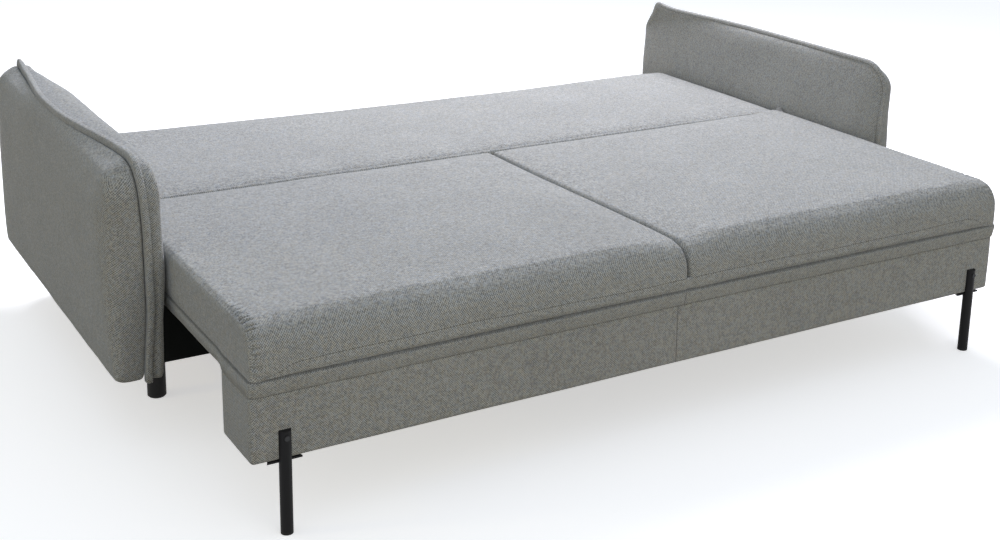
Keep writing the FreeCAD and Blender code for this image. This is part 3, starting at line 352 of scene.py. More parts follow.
FINISHES = {
    "upholstery": lambda looks: cloth("cover", looks),
    # Apron and border covers: a dark seam, and painted shade along their tops under the piece above
    "apron": lambda looks: seamed_cloth(
        "apron cover", looks, seam=-0.001, wobble=0.0006, width=0.0026, shade_from=0.2895),
    "band": lambda looks: seamed_cloth(
        "border cover", looks, seam=0.012, wobble=0, width=0.0024, shade_from=0.3225),
    "black_felt": lambda looks: coated(
        "chest felt", looks.felt, tones=(0.5, 2), grain=(700, 4), patch=(22, 3), bump=(0.0008, 0.5),
        rough=(0, 0, 0.93), weights=(0.7, 0.5, -0.1), stretch=((1, 1, 2.4), UNIT),
        surface={"Sheen Weight": 0.1, "Specular IOR Level": 0.15}),
    "black_metal": lambda looks: coated(
        "leg paint", looks.black_paint, tones=(0.75, 1.5), grain=(900, 2), patch=(60, 3),
        bump=(0.0003, 0.35), rough=(0, 0.16, 0.42), stretch=(UNIT, (1, 1, 0.2)),
        surface={"Specular IOR Level": 0.14}),
    "timber": softwood,
    "hardboard": lambda looks: coated(
        "hardboard", looks.hardboard, tones=(0.65, 1.4), grain=(260, 4), patch=(14, 3),
        bump=(0.0004, 0.4), rough=(0.2, 0, 0.62), weights=(0.8, 0.4, -0.1)),
    "zinc_steel": lambda looks: plated("zinc steel", looks.zinc),
    "dull_steel": lambda looks: plated("dull steel", shade(looks.zinc, 0.07)),
    "black_plastic": lambda looks: moulded("chest legs", looks.plastic, grain=500, rough=0.5),
    "nylon": lambda looks: moulded("nylon", looks.nylon, grain=380, rough=0.5),
    "webbing": strap_cloth,
    "thread": lambda looks: moulded("thread", shade(looks.fabric_warm, 0.36), grain=900, rough=0.8),
}
MADE = {}


def finish_of(context, key):
    """Material of a finish, made the first time that it is needed."""
    if key not in MADE:
        MADE[key] = FINISHES[key](context.scene.sofa_looks)
    return MADE[key]


def alone(obj=None):
    """Select and activate one object only."""
    bpy.ops.object.select_all(action="DESELECT")
    if obj is not None:
        obj.select_set(True)
        bpy.context.view_layer.objects.active = obj


def named(obj, name):
    """Name a new object and its mesh, and put its place into its mesh."""
    obj.name = name
    obj.data.name = name
    alone(obj)
    bpy.ops.object.transform_apply(location=True, rotation=True, scale=True)
    return obj


def block(name, low, high):
    """Cube primitive between two corners."""
    alone()
    low, high = Vector(low), Vector(high)
    bpy.ops.mesh.primitive_cube_add(size=1, location=(low + high) / 2, scale=high - low)
    return named(bpy.context.object, name)


def edit(obj, kind, test, operation):
    """Run an operation in edit mode on the edges or faces that pass a test."""
    alone(obj)
    bpy.ops.object.mode_set(mode="EDIT")
    bpy.ops.mesh.select_mode(type=kind)
    bpy.ops.mesh.select_all(action="DESELECT")
    mesh = bmesh.from_edit_mesh(obj.data)
    count = 0
    for item in mesh.edges if kind == "EDGE" else mesh.faces:
        chosen = test(item)
        item.select_set(chosen)
        count += chosen
    bmesh.update_edit_mesh(obj.data)
    if not count:
        raise RuntimeError(f"{obj.name} has nothing to change there")
    operation()
    bpy.ops.object.mode_set(mode="OBJECT")


def bevel(obj, test, radius, segments):
    """Round the edges whose two ends pass a test."""
    edit(obj, "EDGE", lambda edge: all(test(end.co) for end in edge.verts),
         lambda: bpy.ops.mesh.bevel(offset=radius, segments=segments, affect="EDGES"))


def divide(obj, axis, cuts, least=0.5):
    """Cut the long strips of a piece across."""
    slant = 0.02

    def lengthwise(edge):
        span = edge.verts[1].co - edge.verts[0].co
        return abs(span[axis]) > least and span.length < abs(span[axis]) + slant

    edit(obj, "EDGE", lengthwise, lambda: bpy.ops.mesh.subdivide(number_cuts=cuts))


def crowd(obj, test):
    """Halve the faces whose middles pass a test."""
    edit(obj, "FACE", lambda face: test(face.calc_center_median()),
         lambda: bpy.ops.mesh.subdivide(number_cuts=1))


def near(value, target):
    """Whether two lengths are the same place."""
    return abs(value - target) < 1e-5


def at(**places):
    """Test of whether a point lies at places given by axis."""
    return lambda point: all(near(getattr(point, axis), place) for axis, place in places.items())


def round_over(obj, radius, segments):
    """Round edges by a radius that a function gives for the two ends of each, 0 for a sharp one."""
    ends = [[obj.data.vertices[index].co for index in edge.vertices] for edge in obj.data.edges]
    radii = [radius(first, second) for first, second in ends]
    most = max(radii)
    weights = obj.data.attributes.new("bevel_weight_edge", "FLOAT", "EDGE")
    weights.data.foreach_set("value", [value / most for value in radii])
    refine(obj, "BEVEL", width=most, segments=segments, limit_method="WEIGHT", use_clamp_overlap=False)


def refine(obj, kind, **settings):
    """Add a modifier and apply it."""
    alone(obj)
    modifier = obj.modifiers.new(kind.lower(), kind)
    for key, value in settings.items():
        setattr(modifier, key, value)
    bpy.ops.object.modifier_apply(modifier=modifier.name)


def rows_of(items, name):
    """A vector of each item of a mesh, as rows of X, Y and Z."""
    flat = np.empty(len(items) * 3, np.float32)
    items.foreach_get(name, flat)
    return flat.reshape(-1, 3).astype(float)


def points_of(obj):
    """Points of a mesh."""
    return rows_of(obj.data.vertices, "co")


def normals_of(obj):
    """Outward normals at the points of a mesh."""
    return rows_of(obj.data.vertex_normals, "vector")


def put_points(obj, points):
    """Move the points of a mesh."""
    obj.data.vertices.foreach_set("co", points.astype(np.float32).ravel())
    obj.data.update()


def push_out(obj, lift):
    """Move points along their normals."""
    put_points(obj, points_of(obj) + normals_of(obj) * lift[:, None])


def eased(value, low, high):
    """Smooth step from 0 at low to 1 at high."""
    share = np.clip((value - low) / (high - low), 0, 1)
    return share * share * (3 - 2 * share)


def ripple(points, pitch, seed):
    """Soft noise at points, about -1 to 1."""
    shift = Vector((seed * 7.3, seed * 3.1, seed * 5.7))
    return np.array([noise.noise(Vector(point) / pitch + shift) for point in points])


def spread(obj, values, held, rounds):
    """Even out rows of values over a mesh, with the held points left at zero."""
    flat = np.empty(len(obj.data.edges) * 2, np.int32)
    obj.data.edges.foreach_get("vertices", flat)
    ends = flat.reshape(-1, 2)
    first = np.concatenate([ends[:, 0], ends[:, 1]])
    second = np.concatenate([ends[:, 1], ends[:, 0]])
    count = np.maximum(np.bincount(first, minlength=len(values)), 1)
    free = np.where(held, 0.0, 1.0)[:, None]
    for step in range(rounds):
        sums = [np.bincount(first, values[second, axis], len(values)) / count for axis in range(3)]
        values = (0.4 * values + 0.6 * np.stack(sums, 1)) * free
    return values


def stuff(pads, frames=18, rounds=36):
    """Swell sewn covers together: Cloth with pressure, then a cap on how far points move.

    Each pad is (object, mask of the points that are sewn or glued down, largest move).
    """
    before = {}
    for obj, held, cap in pads:
        before[obj.name] = points_of(obj)
        group = obj.vertex_groups.new(name="held")
        group.add([int(index) for index in np.nonzero(held)[0]], 1.0, "REPLACE")
        modifier = obj.modifiers.new("stuffing", "CLOTH")
        settings = modifier.settings
        settings.quality = 4
        settings.use_pressure = True
        settings.uniform_pressure_force = 4.0
        settings.effector_weights.gravity = 0.0
        settings.vertex_group_mass = "held"
        modifier.collision_settings.use_collision = False
        modifier.point_cache.frame_end = frames
    scene = bpy.context.scene
    for step in range(1, frames + 1):
        scene.frame_set(step)
    for obj, held, cap in pads:
        alone(obj)
        bpy.ops.object.modifier_apply(modifier="stuffing")
        move = spread(obj, points_of(obj) - before[obj.name], held, rounds)
        far = np.linalg.norm(move, axis=1, keepdims=True)
        share = np.tanh(far / cap) * cap / np.maximum(far, 1e-9)
        put_points(obj, before[obj.name] + move * share)
        obj.vertex_groups.clear()
    scene.frame_set(1)


def dress(context, obj, body, replaced=(), finish="upholstery"):
    """Give a piece its finish, its body and the nodes it stands for."""
    obj.data.materials.clear()
    obj.data.materials.append(finish_of(context, finish))
    alone(obj)
    bpy.ops.object.shade_smooth()
    if replaced:
        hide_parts(*replaced)
    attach(obj, body)


def front_path(points, low, high, radius):
    """Length along the seat's end seam, from the start of the front round, forwards and down."""
    y, z = points[:, 1], points[:, 2]
    middle_y, middle_z = low.y + radius, high.z - radius
    quarter = math.pi / 2
    angle = np.clip(np.arctan2(middle_y - y, np.maximum(z - middle_z, 1e-6)), 0, quarter)
    down = np.where(z < middle_z, radius * quarter + middle_z - z, angle * radius)
    return np.where(y > middle_y, middle_y - y, down)


def gather(obj, end, low, high, sizes, seed):
    """Pucker the cover along its end seam, most where the seam turns over the front."""
    points, across = points_of(obj), np.abs(normals_of(obj)[:, 0])
    away = np.abs(end - points[:, 0])
    along = front_path(points, low, high, sizes.front_round)
    rows = along[:, None] * ALONG_X
    wander = ripple(rows, 0.03, seed)
    reach = 0.034 + 0.012 * ripple(rows, 0.02, seed + 6.0)
    patch = eased(ripple(rows, 0.07, seed + 3.0), -0.3, 0.4)
    corner = 0.15 + 0.85 * eased(along, -0.14, -0.01) * (1 - 0.45 * eased(along, 0.05, 0.11))
    fade = eased(away, 0.0, 0.006) * (1 - eased(away, 0.010, reach)) * (across < 0.8)
    turn = along * (TURN / sizes.pucker_pitch)
    valley = (np.cos(turn + wander * 5.0) / 2 + 0.5) ** 6
    between = (np.cos(turn * 2.3 - wander * 4.0) / 2 + 0.5) ** 4
    depth = -sizes.pucker_depth * fade * corner * (0.15 + 0.85 * patch) * (valley + 0.35 * between)
    seam_dip = 0.0011 * np.exp(-((away - 0.006) / 0.004) ** 2) * (across > 0.25)
    push_out(obj, depth - seam_dip)


def settle_cover(obj, seed, depth):
    """Slight unevenness of a cover over its stuffing."""
    points = points_of(obj)
    push_out(obj, (ripple(points, 0.24, seed) + 0.45 * ripple(points, 0.08, seed + 1.0)) * depth)


def seam_run(x, y):
    """How far the seam between the seat cushions wanders to the right towards the front."""
    most = 0.022
    return most * eased(-y, -0.08, 0.75) * (1 - np.abs(x) / SEAT_HALF)


def tucked_under(points):
    """Points of the seat's cover drawn in under its ends, behind the apron."""
    most = 0.009
    x, y, z = points.T
    tuck = most * (1 - eased(z, 0.292, 0.352)) * eased(y, -0.62, -0.57) * eased(np.abs(x), 0.93, 0.965)
    return np.stack([x - np.sign(x) * tuck, y, z], 1)


def cushion_ends(low, high, side):
    """Inner and outer end of a seat cushion along X."""
    return (low.x, high.x - END_GAP) if side > 0 else (high.x, low.x + END_GAP)


def seat_pad(sizes, word, side):
    """One seat cushion before it is stuffed, its sewn points and its largest rise."""
    low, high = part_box(f"seat_cushion_{word}")
    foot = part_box("seat_border")[0].z - LAP
    rise = sizes.cushion_rise
    inner, outer = cushion_ends(low, high, side)
    start = Vector((min(inner, outer), low.y + 0.5 * rise, low.z - LAP))
    end = Vector((max(inner, outer), high.y, high.z - rise))
    obj = block(f"seat_pad_{word}", start, end)
    bevel(obj, at(y=start.y, z=end.z), sizes.front_round, 10)
    bevel(obj, lambda p: near(p.x, outer) and p.z > start.z + 1e-4, sizes.end_round, 4)
    bevel(obj, at(x=inner), sizes.seam_round, 2)
    bevel(obj, at(y=end.y, z=end.z), sizes.seam_round, 2)
    panel_thick, panel_top, foot_sewn = 0.021, start.z + 0.03, start.z + 0.012
    back = outer - side * panel_thick
    skirt = block("end panel", (min(outer, back), start.y, foot), (max(outer, back), end.y - SEWN, panel_top))
    bevel(skirt, at(x=outer, y=start.y), sizes.end_round, 4)
    alone(obj)
    skirt.select_set(True)
    bpy.ops.object.join()
    refine(obj, "REMESH", mode="VOXEL", voxel_size=sizes.voxel)
    x, y, z = points_of(obj).T
    held = (np.abs(x - outer) < SEWN) | (np.abs(x - inner) < SEWN) | (y > end.y - SEWN) | (z < foot_sewn)
    return obj, held, rise


def stitch_line(x, half, sizes):
    """Height of the topstitch over the strip's foot, and a share that falls to 0 at the strip's ends."""
    ends, least = 0.07, 0.12
    wave = np.sin(x * 8.7) * 0.0016 + np.sin(x * 23.0 + 1.0) * 0.0009
    inside = 1 - eased(np.abs(x), half - ends, half)
    return (sizes.stitch_rise + wave) * (least + (1 - least) * inside), inside


class SOFA_OT_seat_cushions(bpy.types.Operator):
    """Sew and stuff the two seat cushions, with their gathers, front strip and topstitch"""

    bl_idname = "sofa.seat_cushions"
    bl_label = "Seat cushions"

    def execute(self, context):
        sizes = context.scene.sofa_sizes
        pads = [seat_pad(sizes, word, side) for word, side in SIDES]
        stuff(pads)
        covers = [pad[0] for pad in pads]
        for obj, (word, side) in zip(covers, SIDES):
            low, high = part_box(f"seat_cushion_{word}")
            outer = cushion_ends(low, high, side)[1]
            refine(obj, "SUBSURF", levels=1, render_levels=1)
            for reach, lift, front in FINE_ZONES:
                crowd(obj, lambda p: abs(outer - p.x) < reach and p.z > low.z + lift and p.y < front)
            settle_cover(obj, seed=2.0 + side, depth=0.0011)
            gather(obj, outer, low, high, sizes, seed=5.0 + side)
            self.fill_end(obj, outer)
            dress(context, obj, "seat", (f"seat_cushion_{word}",))
        self.strip(context, covers)
        return {"FINISHED"}

    def fill_end(self, obj, outer):
        """Let a cushion stand fuller at its outer end, and its inner seam run aslant."""
        rise, reach = 0.006, 0.12
        x, y, z = points_of(obj).T
        height = z + rise * eased(z, 0.36, 0.42) * (1 - eased(np.abs(outer - x), 0.0, reach))
        put_points(obj, tucked_under(np.stack([x + seam_run(x, y), y, height], 1)))

    def strip(self, context, pads):
        """Long strip sewn under the front of both cushions, and its topstitch."""
        sizes = context.scene.sofa_sizes
        low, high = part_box("seat_cushion_right")
        inset, thick, proud, margin, thread = 0.03, 0.02, 0.0012, 0.025, 0.0008
        half, foot = high.x - inset, low.z - LAP
        top = foot + sizes.stitch_rise
        obj = block("seat_front_strip", (-half, low.y, foot), (half, low.y + thick, top))
        for level, radius in ((top, 0.0035), (foot, 0.006)):
            bevel(obj, at(y=low.y, z=level), radius, 4)
        divide(obj, 0, 160)
        points = points_of(obj)
        share = (points[:, 2] - foot) / (top - foot)
        line, inside = stitch_line(points[:, 0], half, sizes)
        points[:, 2] = foot + share * line
        for index, point in enumerate(points):
            points[index, 1] += self.surface(pads, point[0], top + 0.003)[0].y - low.y - proud * inside[index]
        put_points(obj, points)
        dress(context, obj, "seat")
        places = []
        for index in range(int((2 * half - 2 * margin) / sizes.stitch_pitch)):
            x = margin - half + sizes.stitch_pitch * (index + 0.5)
            z = foot + stitch_line(x, half, sizes)[0] + thread
            spot, normal = self.surface([obj, *pads], x, z)
            places.append((spot, Vector(ALONG_X), normal))
        row = stitches(sizes, "seat_topstitch", places)
        dress(context, row, "seat", finish="thread")

    def surface(self, pieces, x, z):
        """Foremost point of the pieces at a place on their front, and its normal."""
        rays = [obj.ray_cast(Vector((x, -1, z)), Vector((0, 1, 0))) for obj in pieces]
        return min(((spot, normal) for found, spot, normal, face in rays if found), key=lambda hit: hit[0].y)


def stitches(sizes, name, places):
    """Row of like stitches, each at (place, direction, outward normal)."""
    alone()
    radius, half = sizes.stitch_radius, sizes.stitch_pitch * 0.4
    bpy.ops.mesh.primitive_uv_sphere_add(segments=6, ring_count=4, radius=1, scale=(radius, radius, half))
    obj = named(bpy.context.object, name)
    single = points_of(obj)
    single[:, 0] *= 1.0 - 0.35 * (np.abs(single[:, 2]) / half) ** 2
    faces = [tuple(polygon.vertices) for polygon in obj.data.polygons]
    points, rows = [], []
    for spot, along, normal in places:
        along = along.normalized()
        side = along.cross(normal).normalized()
        turn = np.array((side, side.cross(along), along))
        start = len(points) * len(single)
        points.append(single @ turn + np.array(spot))
        rows.extend(tuple(start + index for index in face) for face in faces)
    mesh = bpy.data.meshes.new(name)
    mesh.from_pydata(np.concatenate(points).tolist(), [], rows)
    mesh.update()
    old = obj.data
    obj.data = mesh
    bpy.data.meshes.remove(old)
    mesh.name = name
    return obj


class SOFA_OT_seat_border(bpy.types.Operator):
    """Roll the padded border round the seat frame"""

    bl_idname = "sofa.seat_border"
    bl_label = "Seat border"

    def execute(self, context):
        lap, wall, slack = 0.003, 0.0118, 0.001
        low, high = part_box("seat_border")
        low = Vector((low.x, low.y, low.z - lap))
        high = Vector((high.x, high.y, high.z + lap))
        obj = block("seat_band", low, high)
        corner = context.scene.sofa_sizes.end_round
        for tip in (low.x, high.x):
            bevel(obj, at(x=tip, y=low.y), corner, 4)

        def hollow():
            bpy.ops.mesh.inset(thickness=wall, use_boundary=True, use_even_offset=True)
            bpy.ops.mesh.bridge_edge_loops()

        edit(obj, "FACE", lambda face: abs(face.normal.z) > 0.9, hollow)

        def front(p):
            return p.y < low.y + corner + slack and (near(p.y, low.y) or abs(p.x) > high.x - corner)

        for level, radius, segments in ((high.z, 0.007, 4), (low.z, 0.006, 5)):
            bevel(obj, lambda p: front(p) and near(p.z, level), radius, segments)
        divide(obj, 0, 96)
        divide(obj, 1, 48)
        self.settle(obj, low)
        dress(context, obj, "seat", ("seat_border",), "band")
        return {"FINISHED"}

    def settle(self, obj, low):
        """Uneven the border's faces, and lean the foot of its front back."""
        lean = 0.006
        points, normals = points_of(obj), normals_of(obj)
        lift = ripple(points, 0.16, 11.0) * 0.0012 + ripple(points, 0.05, 12.0) * 0.0005
        points = points + normals * (lift * (np.abs(normals[:, 2]) < 0.95))[:, None]
        back = lean * (1 - eased(points[:, 2], low.z, low.z + 0.030))
        points[:, 1] += back * (1 - eased(points[:, 1], low.y + 0.008, low.y + 0.014))
        put_points(obj, tucked_under(points))


class SOFA_OT_apron(bpy.types.Operator):
    """Wrap the apron under the front of the seat"""

    bl_idname = "sofa.apron"
    bl_label = "Apron"

    def execute(self, context):
        low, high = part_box("apron_cover")
        slim = Vector((-0.0055, 0.0006, 0.0))
        start, end = low + slim, high - slim
        end.z += 0.001
        obj = block("apron_wrap", start, end)
        for tip in (start.x, end.x):
            bevel(obj, at(x=tip), 0.006, 3)
        bevel(obj, at(y=start.y), 0.005, 3)
        refine(obj, "REMESH", mode="VOXEL", voxel_size=APRON_VOXEL)
        x, y, z = points_of(obj).T
        held = (z > end.z - 0.008) | (z < start.z + 0.006) | (y > end.y - 0.01)
        stuff([(obj, held, 0.0011)], frames=8)
        settle_cover(obj, seed=21.0, depth=0.0005)
        points = points_of(obj)
        points[:, 1] = np.maximum(points[:, 1], low.y)
        put_points(obj, points)
        dress(context, obj, "seat", ("apron_cover",), "apron")
        return {"FINISHED"}


class SOFA_OT_backrest(bpy.types.Operator):
    """Sew and stuff the long backrest cushion"""

    bl_idname = "sofa.backrest"
    bl_label = "Backrest"

    def execute(self, context):
        sizes = context.scene.sofa_sizes
        low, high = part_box("back_cushion")
        rise, full, glued = sizes.cushion_rise, 0.004, 0.02
        start = Vector((low.x + END_GAP, low.y, low.z))
        end = Vector((high.x - END_GAP, high.y + full, high.z - rise))
        obj = block("back_pad", start, end)
        bevel(obj, at(y=end.y, z=end.z), sizes.rear_round, 8)
        for tip in (start.x, end.x):
            bevel(obj, at(x=tip), sizes.end_round, 4)
        bevel(obj, at(y=start.y, z=end.z), sizes.seam_round, 4)
        refine(obj, "REMESH", mode="VOXEL", voxel_size=sizes.voxel * 1.2)
        x, y, z = points_of(obj).T
        held = (z < start.z + glued) | (y < start.y + SEWN) | (np.abs(x) > end.x - SEWN)
        stuff([(obj, held, rise)])
        refine(obj, "SUBSURF", levels=1, render_levels=1)
        settle_cover(obj, seed=31.0, depth=0.0012)
        self.soften_seam(obj, low)
        dress(context, obj, "backrest", ("back_cushion",))
        self.gusset(context, end.x - 0.012)
        return {"FINISHED"}

    def gusset(self, context, half):
        """Soft roll in the seam between seat and backrest, round the line that they turn about."""
        place, radius, tip_round, uneven = (0, 0.088, 0.4215), 0.0098, 0.003, 0.0007
        alone()
        bpy.ops.mesh.primitive_cylinder_add(vertices=16, radius=radius, depth=2 * half,
                                            location=place, rotation=(0, math.pi / 2, 0))
        obj = named(bpy.context.object, "hinge_gusset")
        for tip in (-half, half):
            bevel(obj, at(x=tip), tip_round, 3)
        divide(obj, 0, 150)
        push_out(obj, ripple(points_of(obj) * ALONG_X, 0.06, 34.0) * uneven)
        dress(context, obj, "backrest")

    def soften_seam(self, obj, low):
        """Let the front edge dip beside the hinge seam, and the rear edge stand fuller at the left."""
        dip, width, full = 0.0010, 0.045, 0.008
        points = points_of(obj)
        x, y, z = points.T
        top = eased(z, 0.38, 0.42)
        sunk = (1.0 + ripple(points * ALONG_X, 0.11, 33.0)) * dip
        height = z - sunk * np.exp(-((y - low.y) / width) ** 2) * top
        rear = eased(y, 0.45, 0.66) * eased(height, 0.38, 0.42)
        height = height + full * rear * (1 - eased(x, -0.95, 0.6))
        put_points(obj, np.stack([x, y, height], 1))


def seam_shift(y, z, side):
    """How far an arm's seam lies outside its straight place, bowed along the top."""
    bow, front, rear = (0.025, -0.016, -0.012) if side < 0 else (-0.003, -0.024, -0.034)
    if side < 0:
        front = front - 0.011 * eased(z, 0.15, 0.33) * (1 - 0.6 * eased(z, 0.45, 0.62))
    else:
        front = front + 0.014 * eased(z, 0.46, 0.60)
    share = np.clip((y - ARM_FRONT) / (ARM_REAR - ARM_FRONT), 0, 1)
    start, finish = 1 - eased(share, 0.05, 0.5), eased(share, 0.55, 1.0)
    top = front * start + rear * finish + bow * (1 - start) * (1 - finish)
    height = eased(z, 0.40, 0.62)
    return top * height + front * (1 - height)


def seam_drop(y, z, sizes):
    """How far an arm's seam sags below its rear corner, which stands up as an ear."""
    return sizes.ear_rise * eased(ARM_REAR - y, 0.01, 0.11) * eased(z, 0.5, 0.62)


def rear_fill(y, z):
    """How far an arm's rear edge swells back below its ear."""
    most = 0.050
    return most * eased(y, 0.60, 0.76) * (1 - eased(z, 0.54, 0.63)) * eased(z, 0.12, 0.34)


def along_seam(points, side, sizes):
    """Points of a straight flange moved to where the seam of the arm really runs."""
    uneven = 0.0011
    x, y, z = points.T
    height = z - seam_drop(y, z, sizes)
    flat = np.stack([np.zeros_like(y), y, height], 1)
    across = x + side * seam_shift(y, z, side) + ripple(flat, 0.07, 51.0 + side) * uneven
    return np.stack([across, y + rear_fill(y, z), height], 1)


def arm_form(points, depth, side, part, sizes):
    """Points of an arm half moved to its seam and stuffing. depth is 0 at the seam, 1 at the far face."""
    sag, dome, crown, forward, bulge, inner_fill = 0.006, 0.020, 0.009, 0.010, 0.0185, 1.2
    x, y, z = points.T
    across = x + side * seam_shift(y, z, side) * (1 - depth)
    height = z - seam_drop(y, z, sizes) * (1 - 0.4 * depth)
    if part == "outer":
        height = height - sag * eased(z, 0.52, 0.62) * eased(depth, 0.1, 0.6)
        return np.stack([across, y + rear_fill(y, z) * (1 - eased(depth, 0.2, 0.9)), height], 1)
    along = y + rear_fill(y, z) * inner_fill
    if side > 0:
        return np.stack([across + dome * depth * eased(z, 0.40, 0.66), along, height], 1)
    middle = eased(y, -0.26, 0.05) * (1 - eased(y, 0.60, 0.76))
    height = height + crown * middle * eased(depth, 0.1, 0.5) * eased(z, 0.54, 0.63)
    along = along - forward * eased(-y, 0.20, 0.28) * eased(depth, 0.1, 0.6)
    front = eased(-y, 0.16, 0.24) * (0.3 + 0.7 * eased(z, 0.24, 0.42))
    top = eased(z, 0.50, 0.61) * (1 - eased(y, 0.40, 0.65))
    return np.stack([across + bulge * depth * np.maximum(front, top), along, height], 1)


def arm_pad(sizes, word, side, part):
    """One half of an arm before it is stuffed, inner or outer, its sewn points and its largest rise."""
    low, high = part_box(f"arm_{part}_pad_{word}")
    outer, left = part == "outer", side < 0
    rise, gap, seam_round = (sizes.arm_rise, sizes.crease, 0.009) if outer else (0.006, 0.003, 0.004)
    near_x, far_x = (high.x, low.x) if outer == left else (low.x, high.x)
    way = math.copysign(1.0, far_x - near_x)
    far_x -= way * rise
    near_x += way * gap
    start = Vector((min(near_x, far_x), low.y, low.z))
    end = Vector((max(near_x, far_x), high.y, high.z))
    obj = block(f"arm_{part}_pillow_{word}", start, end)
    corners = ((start.y, end.z, 0.078 if left or not outer else 0.070, 10),
               (end.y, end.z, 0.026, 5), (start.y, start.z, 0.014, 3))
    for y, z, radius, segments in corners:
        bevel(obj, at(y=y, z=z), radius, segments)
    room = abs(far_x - near_x)
    front_round, rear_round = 0.012, 0.010
    top_round = 0.018 if left and not outer else min(sizes.arm_round, room * 0.85)

    def edge_round(first, second):
        middle = (first + second) / 2
        if near(first.x, near_x) and near(second.x, near_x):
            return seam_round
        if not (near(first.x, far_x) and near(second.x, far_x)):
            return 0.0
        if middle.z < start.z + 0.001 or middle.y > end.y - 0.001:
            return rear_round
        return front_round + (top_round - front_round) * float(eased(middle.z, start.z, start.z + 0.20))

    divide(obj, 2, 7, least=0.3)
    round_over(obj, edge_round, 6)
    refine(obj, "REMESH", mode="VOXEL", voxel_size=ARM_VOXEL)
    points = points_of(obj)
    away = np.abs(points[:, 0] - near_x)
    held = (away < 0.007) | (points[:, 2] < start.z + 0.01)
    put_points(obj, arm_form(points, np.clip(away / room, 0, 1), side, part, sizes))
    return obj, held, rise


def clear_of_seat(points, side):
    """Points of an inner arm half kept off the seat, the backrest and the hinge plates as they move."""
    least, plate = 0.9868, 0.0122
    x, y, z = points.T
    hinge = eased(y, -0.24, -0.17) * (1 - eased(z, 0.52, 0.61))
    return np.stack([side * np.maximum(np.abs(x), least + plate * hinge), y, z], 1)


class SOFA_OT_arms(bpy.types.Operator):
    """Sew and stuff the arms, each of two halves with a flange round the seam"""

    bl_idname = "sofa.arms"
    bl_label = "Arms"

    def execute(self, context):
        halves = [(word, side, part) for word, side in SIDES for part in ("inner", "outer")]
        pads = [arm_pad(context.scene.sofa_sizes, *half) for half in halves]
        stuff(pads)
        for index, (word, side, part) in enumerate(halves):
            obj = pads[index][0]
            refine(obj, "SUBSURF", levels=1, render_levels=1)
            settle_cover(obj, seed=41.0 + index, depth=0.0012)
            if part == "inner":
                put_points(obj, clear_of_seat(points_of(obj), side))
            dress(context, obj, "base", (f"arm_{part}_pad_{word}",))
        for word, side in SIDES:
            self.welt(context, word, side)
        return {"FINISHED"}

    def welt(self, context, word, side):
        """Sewn flange: a rounded section drawn up the front, over the top and down the rear."""
        sizes = context.scene.sofa_sizes
        low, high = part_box(f"arm_flange_{word}")
        seam = (low.x + high.x) / 2
        deep = sizes.welt_proud
        front, rear, top = low.y + deep, high.y - deep, high.z - deep
        bend, tight = ARM_BEND - deep, 0.014
        spin = {"angle": math.pi / 2, "axis": (1, 0, 0)}
        alone()
        bpy.ops.mesh.primitive_circle_add(vertices=20, radius=1, fill_type="NGON")
        obj = named(bpy.context.object, f"arm_welt_{word}")
        points = points_of(obj)
        points = np.sign(points) * np.abs(points) ** 0.6 * np.array((sizes.welt_width / 2, deep, 0.0))
        put_points(obj, points + np.array((seam, front, low.z)))
        alone(obj)
        bpy.ops.object.mode_set(mode="EDIT")
        mesh = bpy.ops.mesh
        mesh.select_mode(type="FACE")
        mesh.select_all(action="SELECT")
        self.extend(26, Vector((0, 0, top - bend - low.z)))
        mesh.spin(steps=12, center=(seam, front + bend, top - bend), **spin)
        self.extend(60, Vector((0, rear - tight - front - bend, 0)))
        mesh.spin(steps=6, center=(seam, rear - tight, top - tight), **spin)
        self.extend(30, Vector((0, 0, low.z - top + tight)))
        mesh.select_all(action="SELECT")
        mesh.remove_doubles(threshold=1e-5)
        mesh.select_all(action="DESELECT")
        mesh.select_interior_faces()
        mesh.delete(type="FACE")
        mesh.select_all(action="SELECT")
        mesh.normals_make_consistent(inside=False)
        bpy.ops.object.mode_set(mode="OBJECT")
        x, y, z = points_of(obj).T
        thinner = 0.35 * eased(y, high.y - 0.07, high.y - 0.01) * eased(z, 0.55, 0.63)
        points = np.stack([seam + (x - seam) * (1 - thinner), y, z], 1)
        put_points(obj, along_seam(points, side, sizes))
        dress(context, obj, "base", (f"arm_flange_{word}",))
        self.seam_stitches(context, word, side)

    def seam_stitches(self, context, word, side):
        """Row of stitches up the front and over the top, on the inner side of the flange."""
        sizes = context.scene.sofa_sizes
        low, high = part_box(f"arm_flange_{word}")
        x = (low.x + high.x) / 2 - side * sizes.welt_width / 2
        inset, bare = 0.0095, 0.04
        reach = ARM_BEND - inset
        rise, arc = high.z - ARM_BEND - low.z, reach * math.pi / 2
        whole = rise + arc + high.y - low.y - ARM_BEND - bare
        middle = np.array((low.y + ARM_BEND, high.z - ARM_BEND))
        rows = []
        for step in range(int(whole / sizes.stitch_pitch)):
            run = (step + 0.5) * sizes.stitch_pitch
            angle = min(max((run - rise) / reach, 0.0), math.pi / 2)
            place = middle + reach * np.array((-math.cos(angle), math.sin(angle)))
            place += (max(run - rise - arc, 0.0), min(run - rise, 0.0))
            rows.append((x, *place))
        points = along_seam(np.array(rows), side, sizes)
        ways = np.gradient(points, axis=0)
        out = Vector((-side, 0, 0))
        row = stitches(sizes, f"arm_stitch_{word}",
                       [(Vector(spot), Vector(way), out) for spot, way in zip(points, ways)])
        dress(context, row, "base", finish="thread")

    def extend(self, count, way):
        """Extrude the chosen section along a straight run, in steps."""
        for step in range(count):
            bpy.ops.mesh.extrude_region_move(TRANSFORM_OT_translate={"value": way / count})


